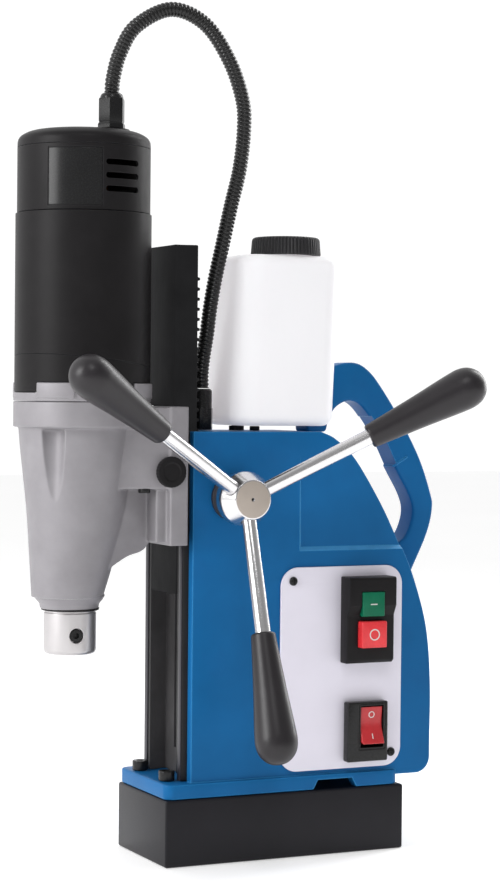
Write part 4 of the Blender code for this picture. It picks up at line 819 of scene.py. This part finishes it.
def ring_sector(inner, outer, low, high, count):
    """A piece of a ring round the motor's axis, between two angles in degrees."""
    return arc((MOTOR_X, 0), outer, low, high, count) + arc((MOTOR_X, 0), inner, high, low, count)


def tab_outline(angle, inner, outer, grow=0.0):
    return ring_sector(inner, outer, angle - 17 - grow, angle + 17 + grow, 14)


def cover():
    profile = [(0.0, 0.2889), (0.0421, 0.2889), (0.0421, 0.2839), (0.0, 0.2839)]
    made = lathe(eased(profile, 0.0005), (MOTOR_X, 0, 0), (0, 0, 1), 128)
    tools = [rod(0.0145, (MOTOR_X, 0, 0.2839), (MOTOR_X, 0, 0.2948), 48)]
    for angle in TAB_ANGLES:
        tools.append(rounded(slab([tab_outline(angle, 0.0386, 0.0431)], "XY", 0.2856, 0.295),
                             0.0007, 3, 50))
    made = join(made, *tools)
    lay = rod(0.0043, (*LAY_SHAFT, 0.275), (*LAY_SHAFT, 0.300), 24)
    made = cut(made, rod(0.0113, (MOTOR_X, 0, 0.2868), (MOTOR_X, 0, 0.310), 48),
               rod(0.0072, (MOTOR_X, 0, 0.275), (MOTOR_X, 0, 0.300), 32), lay)
    piece("gearbox_cover_ring", made, "carriage", "casting", "cast_aluminium", "gearbox_cover")


# Motor -----------------------------------------------------------------------


def motor_sleeve(outer, inner, low, high, corner):
    profile = [(outer, high), (outer, low), (inner, low), (inner, high), (outer, high)]
    return lathe(eased(profile, corner)[:-1], (MOTOR_X, 0, 0), (0, 0, 1), 144, closed=True)


def motor_lower():
    case = motor_sleeve(0.0416, 0.0390, 0.2892, 0.3978, 0.0006)
    notches = [slab([tab_outline(a, 0.0375, 0.050, 0.6)], "XY", 0.280, 0.2953) for a in TAB_ANGLES]
    line = lathe([(0.0450, 0.0003), (0.0413, 0.0003), (0.0413, -0.0003), (0.0450, -0.0003)],
                 (MOTOR_X, 0, 0.3075), (0.105, 0.045, 1), 144, closed=True)
    case = cut(case, *notches, line)
    piece("motor_case_lower", case, "carriage", "plastic", "black_plastic", "motor_field_case")


def motor_upper():
    """The brush case, with its vents and a plain plate in a shallow bed."""
    case = motor_sleeve(0.0407, 0.0380, 0.3981, 0.4377, 0.0005)
    cutters = []
    for side in (-1, 1):
        for z in (0.4110, 0.4190, 0.4270):
            outline = (arc((-0.1045, z), 0.0018, -90, 90, 10)
                       + arc((-0.1240, z), 0.0018, 90, 270, 10))
            lo, hi = sorted((side * 0.030, side * 0.050))
            cutters.append(slab([outline], "XZ", lo, hi))
    bed = ring_sector(0.04035, 0.0440, -143, -95, 30)
    cutters.append(slab([bed], "XY", 0.4005, 0.4355))
    case = cut(case, *cutters)
    piece("motor_case_upper", case, "carriage", "plastic", "black_plastic", "motor_brush_case")
    plate = ring_sector(0.04033, 0.0406, -142.3, -95.7, 30)
    plate = rounded(slab([plate], "XY", 0.4011, 0.4349), 0.0001, 1, 50)
    piece("motor_label_blank", plate, "carriage", "gloss_black", "black_plastic")


def motor_top():
    top = 0.4490
    profile = [(0.0, top)] + smooth(
        ((0.0120, top - 0.00005), (0.0250, top - 0.0003), (0.0330, 0.4476), (0.0380, 0.4453),
         (0.0400, 0.4431), (0.0406, 0.4408), (0.0407, 0.4380)), 5)
    profile += [(0.0380, 0.4380), (0.0370, 0.4400), (0.0300, 0.4440), (0.0145, 0.4452),
                (0.0145, 0.4345), (0.0113, 0.4345), (0.0113, 0.4430), (0.0, 0.4430)]
    cap = lathe(profile, (MOTOR_X, 0, 0), (0, 0, 1), 144)
    boss = lathe(eased([(0.0, 0.4510), (0.0112, 0.4510), (0.0118, 0.4460), (0.0, 0.4460)], 0.0008),
                 (MOTOR_GLAND_X, 0, 0), (0, 0, 1), 64)
    cap = join(cap, boss)
    cap = cut(cap, rod(0.0040, (MOTOR_GLAND_X, 0, 0.430), (MOTOR_GLAND_X, 0, 0.460), 32))
    piece("motor_top", cap, "carriage", "plastic", "black_plastic", "motor_end_cap")


def motor_gland():
    nut = [(0.0032, 0.4732), (0.0052, 0.4732), (0.0064, 0.4725), (0.0070, 0.4712), (0.0072, 0.4701),
           (0.0076, 0.4699), (0.0079, 0.4690), (0.0079, 0.4560), (0.0076, 0.4550), (0.0080, 0.4545),
           (0.0084, 0.4538), (0.0084, 0.4516), (0.0081, 0.4513), (0.0032, 0.4513)]
    nut = lathe(nut, (MOTOR_GLAND_X, 0, 0), (0, 0, 1), 96, closed=True, section=hexagon(0.4700))
    piece("motor_gland_nut", nut, "carriage", "gloss_black", "black_plastic", "motor_gland")


def beside_spindle(distance, degrees):
    """A point at the shank screws' height, this far from the spindle's axis."""
    angle = math.radians(degrees)
    return SPINDLE_X + distance * math.cos(angle), distance * math.sin(angle), SHANK_SCREW_Z


def spindle():
    r, end = 0.0161, 0.1295
    profile = [
        (0.0, 0.2755), (0.0080, 0.2755), (0.0080, 0.2590), (0.0104, 0.2590), (0.0104, 0.1780),
        (0.0110, 0.1780), (0.0110, 0.1647), (r, 0.1647), (r, 0.1560), (r - 0.0005, 0.1556),
        (r - 0.0005, 0.1550), (r, 0.1546), (r, end + 0.0030), (r - 0.0003, end + 0.0016),
        (r - 0.0010, end + 0.0006), (r - 0.0024, end), (0.00955 + 0.0006, end),
        (0.00955, end + 0.0006), (0.00955, end + 0.032), (0.0032, end + 0.035), (0.0032, 0.2400),
        (0.0, 0.2400),
    ]
    quill = lathe(profile, (SPINDLE_X, 0, 0), (0, 0, 1), 128)
    holes = []
    for angle in SHANK_SCREW_ANGLES:
        holes.append(rod(0.0044, beside_spindle(0.006, angle), beside_spindle(0.020, angle), 48))
        holes.append(rod(0.0044, beside_spindle(0.0155, angle), beside_spindle(0.0175, angle), 48,
                         0.0058))
    piece("spindle_quill", cut(quill, *holes), "spindle", "steel", "steel", "spindle")
    profile = eased([(0.0, 0.0147), (0.0040, 0.0147), (0.0040, 0.0102), (0.0, 0.0102)], 0.0004)
    for index, angle in enumerate(SHANK_SCREW_ANGLES):
        way = (math.cos(math.radians(angle)), math.sin(math.radians(angle)), 0)
        screw = lathe(profile, (SPINDLE_X, 0, SHANK_SCREW_Z), way, 40)
        screw = cut(screw, rod(0.0021, beside_spindle(0.0120, angle), beside_spindle(0.018, angle), 6))
        piece(f"shank_screw_{index + 1}", screw, "spindle", "gloss_black", "black_steel",
              f"weldon_screw_{index + 1}")


# Capstan ---------------------------------------------------------------------


def spoke_way(degrees):
    angle, out = math.radians(degrees), math.cos(SPOKE_TILT)
    return Vector((out * math.cos(angle), -math.sin(SPOKE_TILT), out * math.sin(angle)))


def spoke_point(distance, degrees):
    return tuple(Vector((PINION[0], -0.0556, PINION[1])) + spoke_way(degrees) * distance)


def capstan_hub():
    depth = 0.0656
    profile = [
        (0.0, depth - 0.0012), (0.0007, depth - 0.0012), (0.0012, depth), (0.0112, depth),
        (0.0119, depth - 0.0003), (0.0122, depth - 0.0008), (0.0165, 0.0557), (0.0167, 0.0553),
        (0.0168, 0.0548), (0.0168, 0.0484), (0.0166, 0.0479), (0.0162, 0.0475), (0.0150, 0.0460),
        (0.0128, 0.0452), (0.0114, 0.0443), (0.0108, 0.0430), (0.0108, 0.0384), (0.0105, 0.0381),
        (0.0083, 0.0381), (0.0083, 0.0540), (0.0, 0.0540),
    ]
    hub = lathe(profile, (PINION[0], 0, PINION[1]), (0, -1, 0), 128)
    hub = cut(hub, *[rod(0.0050, spoke_point(0.0105, a), spoke_point(0.0300, a), 48)
                     for a in SPOKE_ANGLES])
    piece("capstan_boss", hub, "capstan", "chrome", "steel", "capstan_hub")
    hub.data.materials.append(FINISH["hub_face"])
    hub.data.materials.append(FINISH["gloss_black"])
    for face in hub.data.polygons:
        spot = face.center
        if face.normal.y < -0.97 and spot.y < -0.064:
            out = math.hypot(spot.x - PINION[0], spot.z - PINION[1])
            face.material_index = 2 if out < 0.0011 else 1


def capstan_bars():
    bar = eased([(0.0, 0.143), (0.0047, 0.143), (0.0047, 0.0109), (0.0, 0.0109)])
    grip = smooth(((0.0, 0.1629), (0.0030, 0.1626), (0.0062, 0.1614), (0.0094, 0.1587),
                   (0.0117, 0.1549), (0.0127, 0.1498), (0.0125, 0.1440), (0.0117, 0.1350),
                   (0.0102, 0.1200), (0.0087, 0.1020), (0.0078, 0.0900), (0.0075, 0.0860)), 5)
    grip += [(0.0074, 0.0850), (0.0071, 0.0844), (0.0067, 0.0841), (0.0050, 0.0841),
             (0.0050, 0.1433), (0.0, 0.1433)]
    for index, angle in enumerate(SPOKE_ANGLES, 1):
        start, way = spoke_point(0, angle), spoke_way(angle)
        piece(f"capstan_bar_{index}", lathe(bar, start, way, 64), "capstan", "chrome", "chrome",
              f"spoke_{index}")
        piece(f"capstan_grip_{index}", lathe(grip, start, way, 80), "capstan", "grip",
              "grip_plastic", f"grip_{index}", angle=50)


def knob():
    profile = eased([(0.0, 0.0421), (0.0052, 0.0421), (0.0060, 0.0425), (0.0092, 0.0425),
                     (0.0095, 0.0418), (0.0095, 0.0392), (0.0088, 0.0381), (0.0030, 0.0381),
                     (0.0030, 0.0240), (0.0, 0.0240)], 0.0004)
    made = lathe(profile, (KNOB_X, 0, KNOB_Z), (0, -1, 0), 180, section=knurl(0.025, 30, 0.0382))
    piece("lock_knob_ribbed", made, "lock_knob", "plastic", "black_plastic", "lock_knob", angle=30)


# Control panel ---------------------------------------------------------------


def panel():
    outline = rounded_rectangle((-0.005, 0.0533), (0.081, 0.1813), 0.012, 16)
    made = rounded(slab([outline], "XZ", PANEL_FACE, -0.0353), 0.0005, 3, 50)
    tools = switch_openings(-0.040, -0.030)
    for _, x, z in PANEL_SCREWS:
        tools.append(rod(0.0021, (x, -0.034, z), (x, -0.040, z), 32))
    piece("panel_plate", cut(made, *tools), "stand", "panel", "panel_white", "control_panel")
    profile = [(0.0, 0.0389), (0.0008, 0.03888), (0.0016, 0.0387), (0.0022, 0.0384),
               (0.0026, 0.0380), (0.0028, 0.0376), (0.0028, 0.0373), (0.0016, 0.0373),
               (0.0016, 0.0310), (0.0, 0.0310)]
    for name, x, z in PANEL_SCREWS:
        screw = lathe(profile, (x, 0, z), (0, -1, 0), 48)
        slots = [block((x - 0.0017, -0.0395, z - 0.0003), (x + 0.0017, -0.0381, z + 0.0003)),
                 block((x - 0.0003, -0.0395, z - 0.0017), (x + 0.0003, -0.0381, z + 0.0017))]
        piece(f"panel_fixing_{name}", cut(screw, *slots), "stand", "gloss_black", "black_steel",
              f"panel_screw_{name}")


def switches():
    low, high = 0.1205, 0.1750
    back = PANEL_FACE - 0.0003
    side = [(back, high), (-0.0490, high), (-0.0500, high - 0.001), (-0.0500, 0.1570),
            (-0.0468, 0.1508), (-0.0468, low + 0.002), (-0.0448, low), (back, low)]
    body = rounded(slab([side], "YZ", 0.0366, 0.0700), 0.0008, 3, 25)
    body = join(body, block((0.0403, -0.040, 0.1243), (0.0669, -0.022, 0.1709)))
    sizes = (("start", START_Z, 0.0078, 0.0077, -0.0508, "green", "green_plastic"),
             ("stop", STOP_Z, 0.0089, 0.0083, -0.0520, "red", "red_plastic"))
    tools = []
    for _, z, half_x, half_z, _, _, _ in sizes:
        hole = rounded_rectangle((BUTTON_X - half_x - 0.0004, z - half_z - 0.0004),
                                 (BUTTON_X + half_x + 0.0004, z + half_z + 0.0004), 0.0008, 5)
        tools.append(slab([hole], "XZ", -0.055, -0.0300))
    piece("motor_switch_case", cut(body, *tools), "stand", "plastic", "black_plastic",
          "motor_switch_body")
    for name, z, half_x, half_z, face, finish, slot in sizes:
        shape = rounded_rectangle((BUTTON_X - half_x, z - half_z), (BUTTON_X + half_x, z + half_z),
                                  0.0007, 5)
        key = rounded(slab([shape], "XZ", face, -0.0360), 0.0009, 4, 50)
        piece(f"{name}_key", key, f"{name}_button", finish, slot, f"{name}_button", angle=30)
    bar = rounded(block((BUTTON_X - 0.0024, -0.05095, START_Z - 0.00035),
                        (BUTTON_X + 0.0024, -0.05070, START_Z + 0.00035)), 0.0001, 2)
    piece("start_mark", bar, "start_button", "mark", "green_plastic")
    ring = lathe([(0.0036, 0.05215), (0.0036, 0.0519), (0.0029, 0.0519), (0.0029, 0.05215)],
                 (BUTTON_X, 0, STOP_Z), (0, -1, 0), 64, closed=True)
    piece("stop_mark", ring, "stop_button", "mark", "red_plastic")


def rocker_bezel():
    x = PIVOT[0]
    made = rounded(block((0.0394, -0.0440, 0.0579), (0.0680, PANEL_FACE - 0.0003, 0.0957)), 0.0011)
    made = join(made, block((0.0437, -0.040, 0.0623), (0.0668, -0.024, 0.0943)))
    hole = slab([rounded_rectangle((x - 0.0082, 0.0668), (x + 0.0082, 0.0932), 0.0006, 4)],
                "XZ", -0.050, -0.0290)
    lip = slab([rounded_rectangle((x - 0.0096, 0.0653), (x + 0.0096, 0.0947), 0.0012, 4),
                rounded_rectangle((x - 0.0090, 0.0659), (x + 0.0090, 0.0941), 0.0010, 4)],
               "XZ", -0.0450, -0.0436)
    piece("rocker_bezel", cut(made, hole, lip), "stand", "gloss_black", "black_plastic",
          "rocker_frame")


def rocker_turned(a, b):
    """Y and Z of a point of the key's profile, turned by the angle at which it rests."""
    cos, sin = math.cos(ROCKER_REST), math.sin(ROCKER_REST)
    return PIVOT[1] + a * cos + b * sin, PIVOT[2] - a * sin + b * cos


def on_rocker(along, out):
    return Vector((PIVOT[0], *rocker_turned(-out, along)))


def rocker_half(side):
    """The middle, the slope and the outward normal of the key's upper (1) or lower (-1) half."""
    slope = (on_rocker(side * 0.0090, 0.0060) - on_rocker(side * 0.0040, 0.0047)).normalized()
    normal = Vector((1, 0, 0)).cross(slope)
    if normal.y > 0:
        normal = -normal
    return on_rocker(side * 0.0068, 0.0050), slope, normal


def rocker():
    face = [(-0.0062, 0.0118)] + smooth(((-0.0059, 0.0105), (-0.0042, 0.0040), (-0.0037, 0.0),
                                         (-0.0042, -0.0040), (-0.0059, -0.0105)), 5)
    face += [(-0.0062, -0.0118), (0.0030, -0.0080), (0.0030, 0.0080)]
    outline = [rocker_turned(a, b) for a, b in face]
    key = rounded(slab([outline], "YZ", PIVOT[0] - 0.0077, PIVOT[0] + 0.0077), 0.0006, 3, 35)
    piece("rocker_key", key, "magnet_rocker", "rocker_red", "red_plastic", "magnet_rocker",
          angle=30)
    spot, slope, normal = rocker_half(1)
    ring = lathe([(0.0021, 0.00020), (0.0021, -0.0003), (0.0016, -0.0003), (0.0016, 0.00020)],
                 spot, normal, 48, closed=True)
    piece("rocker_mark_off", ring, "magnet_rocker", "mark", "red_plastic")
    spot, slope, normal = rocker_half(-1)
    place = Matrix((Vector((1, 0, 0)), normal, slope)).transposed().to_4x4()
    bar = rounded(block((-0.0003, -0.0003, -0.0017), (0.0003, 0.0002, 0.0017)), 0.0001, 2)
    bar.data.transform(Matrix.Translation(spot) @ place)
    piece("rocker_mark_on", bar, "magnet_rocker", "mark", "red_plastic")


# Coolant tank ----------------------------------------------------------------

TANK_X, LEAN, LOW, HIGH = 0.0031, 0.040, 0.2695, 0.3765


def tank_block(inset, count, segments):
    """The tank's body, smaller by inset on every side and leaning back as it rises."""
    low, high = LOW + inset, HIGH - inset
    half = (0.0353 - inset, 0.030 - inset)
    made = slab([rounded_rectangle((-half[0], -half[1]), half, 0.015 - inset, count)], "XY", low,
                high)
    made = rounded(made, 0.0062 - inset * 0.8, segments, 50)
    lean = Matrix.Identity(4)
    lean[0][2] = LEAN
    shift = Matrix.Translation((TANK_X + LEAN * (HIGH - LOW) / 2 - LEAN * (HIGH + LOW) / 2, 0, 0))
    made.data.transform(shift @ lean)
    return made


def groove(grow):
    return rounded(block((0.025 - grow, -0.0105 - grow, 0.255), (0.060, 0.0105 + grow,
                                                                 0.315 + grow)), 0.003, 4)


def tank():
    body = tank_block(0.0, 12, 8)
    neck = [(0.0, 0.3860), (0.0158, 0.3860), (0.0165, 0.3853), (0.0165, 0.3790), (0.0175, 0.3768),
            (0.0190, 0.3755), (0.0, 0.3755)]
    body = join(body, lathe(neck, (*CAP, 0), (0, 0, 1), 96))
    body = cut(body, groove(0.0))
    room = cut(tank_block(0.002, 8, 4), groove(0.002))
    body = cut(body, room, rod(0.0140, (*CAP, 0.370), (*CAP, 0.395), 64),
               rod(0.0033, (*OUTLET, 0.265), (*OUTLET, 0.275), 32))
    piece("coolant_bottle", body, "stand", "tank", "tank_white", "coolant_tank", angle=40)


def tank_cap():
    low, top = 0.3771, 0.3886
    profile = [(0.0, top - 0.0006), (0.0165, top - 0.0006), (0.0172, top - 0.0001),
               (0.0180, top), (0.0200, top - 0.0002), (0.0211, top - 0.0009),
               (0.0216, top - 0.0020), (0.0221, low + 0.0030), (0.0223, low + 0.0008),
               (0.0219, low), (0.0168, low), (0.0168, 0.3863), (0.0, 0.3863)]

    def ribs(angle, height):
        if not low + 0.0002 < height < top - 0.0008:
            return 1.0
        return 1 - 0.030 * (0.5 + 0.5 * math.cos(60 * angle)) ** 2

    lid = lathe(profile, (*CAP, 0), (0, 0, 1), 480, section=ribs)
    piece("coolant_cap", lid, "tank_cap", "cap", "black_plastic", "tank_cap", angle=30)


def tank_outlet():
    outlet = [(0.0030, 0.2745), (0.0030, 0.2692), (0.0048, 0.2692), (0.0048, 0.2663),
              (0.0016, 0.2663), (0.0016, 0.2745)]
    made = lathe(outlet, (*OUTLET, 0), (0, 0, 1), 48, closed=True)
    piece("bottle_outlet", made, "stand", "plastic", "black_plastic", "tank_outlet")


# Glands and conduit ----------------------------------------------------------


def glands():
    profile = [(0.0032, 0.2923), (0.0055, 0.2923), (0.0066, 0.2912), (0.0068, 0.2900),
               (0.0068, 0.2802), (0.0074, 0.2799), (0.0074, 0.2672), (0.0070, 0.2663),
               (0.0032, 0.2663)]
    made = lathe(profile, (*HOUSING_GLAND, 0), (0, 0, 1), 96, closed=True, section=hexagon(0.2800))
    piece("housing_gland_nut", made, "stand", "gloss_black", "black_plastic", "housing_gland")
    wall = HOUSING_REAR + 0.0003
    profile = [(0.0040, wall + 0.0130), (0.0058, wall + 0.0130), (0.0070, wall + 0.0120),
               (0.0076, wall + 0.0105), (0.0079, wall + 0.0030), (0.0080, wall), (0.0060, wall),
               (0.0060, wall - 0.0090), (0.0040, wall - 0.0090)]
    made = lathe(profile, (0, *MAINS_GLAND), (1, 0, 0), 192, closed=True,
                 section=knurl(0.03, 16, wall + 0.001))
    piece("mains_gland_nut", made, "stand", "plastic", "black_plastic", "mains_gland", angle=30)


def conduit():
    """A ribbed tube: its radius rises and falls along the route."""
    pitch, depth, per_rib, steps = 0.0025, 0.00062, 8, 28
    line = [Vector(p) for p in smooth(CONDUIT_ROUTE, 24)]
    run = [0.0]
    for a, b in zip(line, line[1:]):
        run.append(run[-1] + (b - a).length)
    total = run[-1]
    count = round(total / pitch) * per_rib
    centres, place = [], 0
    for i in range(count + 1):
        goal = total * i / count
        while place < len(run) - 2 and run[place + 1] < goal:
            place += 1
        t = (goal - run[place]) / (run[place + 1] - run[place])
        centres.append(line[place].lerp(line[place + 1], min(1.0, t)))
    ways = []
    for i in range(len(centres)):
        ways.append((centres[min(i + 1, count)] - centres[max(i - 1, 0)]).normalized())
    side = Vector((0, 1, 0))
    work = bmesh.new()
    rings = []
    for i, (centre, way) in enumerate(zip(centres, ways)):
        side = (side - way * side.dot(way)).normalized()
        other = way.cross(side)
        wave = 0.5 + 0.5 * math.cos(math.tau * i / per_rib)
        radius = CONDUIT_RADIUS - depth * (1 - wave**0.6)
        rings.append([
            work.verts.new(centre + side * radius * math.cos(math.tau * j / steps)
                           + other * radius * math.sin(math.tau * j / steps))
            for j in range(steps)
        ])
    for a, b in zip(rings, rings[1:]):
        for j in range(steps):
            k = (j + 1) % steps
            work.faces.new((a[j], a[k], b[k], b[j]))
    work.faces.new(rings[0][::-1])
    work.faces.new(rings[-1])
    made = from_work(work)
    made.name = made.data.name = "ribbed_conduit"
    made.data.materials.append(FINISH["conduit"])
    made.data.shade_smooth()
    made.data.set_sharp_from_angle(angle=math.radians(60))
    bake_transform(made)
    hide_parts("conduit")


# Inner pieces keep their CAD shape -------------------------------------------

KEPT = {
    "magnet_coil": "copper", "magnet_potting": "resin", "control_board": "board",
    "stator": "steel", "brush_holder_front": "plastic", "brush_holder_rear": "plastic",
    "spindle_bearing_lower": "steel", "spindle_bearing_upper": "steel",
    "armature_bearing_lower": "steel", "armature_bearing_upper": "steel",
    "spindle_gear": "steel", "lay_shaft": "steel", "armature": "steel", "commutator": "copper",
    "cooling_fan": "plastic", "pinion_shaft": "steel",
}


def dress_kept():
    for node, finish in KEPT.items():
        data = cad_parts[node].data
        if not data.materials:
            data.materials.append(FINISH[finish])
        for index in range(len(data.materials)):
            data.materials[index] = FINISH[finish]


# Camera, floor and light -----------------------------------------------------


def camera():
    data = bpy.data.cameras.new("view")
    data.sensor_width = 36.0
    data.lens = 91.06
    data.clip_end = 20.0
    made = bpy.data.objects.new("view", data)
    bpy.context.scene.collection.objects.link(made)
    made.location = (-0.6224, -1.28605, 0.2905)
    made.rotation_euler = [math.radians(a) for a in (88.6855, -0.5568, -25.4520)]
    bpy.context.scene.camera = made


def area_light(name, spot, target, size, power):
    data = bpy.data.lights.new(name, "AREA")
    data.shape = "RECTANGLE"
    data.size, data.size_y = size
    data.energy = power
    made = bpy.data.objects.new(name, data)
    bpy.context.scene.collection.objects.link(made)
    made.location = spot
    way = Vector(target) - Vector(spot)
    made.rotation_euler = way.to_track_quat("-Z", "Y").to_euler()


def studio():
    work = bmesh.new()
    bmesh.ops.create_grid(work, x_segments=2, y_segments=2, size=6.0)
    floor = from_work(work)
    floor.name = "floor"
    floor.location.z = -0.0002
    made, tree, shader = nodes_of("floor_paper")
    tone = blend_colours(tree, noise(tree, 3, 2.0), (0.86, 0.86, 0.86), (0.90, 0.90, 0.90))
    link(tree, tone, shader.inputs["Base Color"])
    shader.inputs["Roughness"].default_value = 0.9
    shader.inputs["Specular IOR Level"].default_value = 0.1
    link(tree, tone, shader.inputs["Emission Color"])
    shader.inputs["Emission Strength"].default_value = 0.36
    floor.data.materials.append(made)
    world = bpy.data.worlds.new("studio")
    world.use_nodes = True
    tree = world.node_tree
    ground = tree.nodes["Background"]
    ground.inputs["Color"].default_value = (1.0, 1.0, 1.0, 1.0)
    parts = tree.nodes.new("ShaderNodeSeparateXYZ")
    link(tree, tree.nodes.new("ShaderNodeTexCoord").outputs["Generated"], parts.inputs["Vector"])
    link(tree, remap(tree, parts.outputs["Y"], -0.50, 0.40, 0.31, 1.06), ground.inputs["Strength"])
    bpy.context.scene.world = world
    bpy.context.scene.view_settings.view_transform = "Standard"
    area_light("key", (-1.9, -0.25, 0.9), (-0.02, 0, 0.22), (0.9, 1.1), 24)
    area_light("side", (1.30, 0.42, 0.90), (0, 0, 0.26), (0.4, 1.5), 14)
    area_light("front", (-0.5, -1.5, 1.9), (0, 0, 0.2), (0.6, 0.6), 7)


camera()
conduit()
magnet()
foot_screws()
housing()
handle()
column()
gib_and_post()
slide_and_rack()
bushes()
gearbox()
cover()
motor_lower()
motor_upper()
motor_top()
motor_gland()
spindle()
capstan_hub()
capstan_bars()
knob()
panel()
switches()
rocker_bezel()
rocker()
tank()
tank_cap()
tank_outlet()
glands()
dress_kept()
studio()
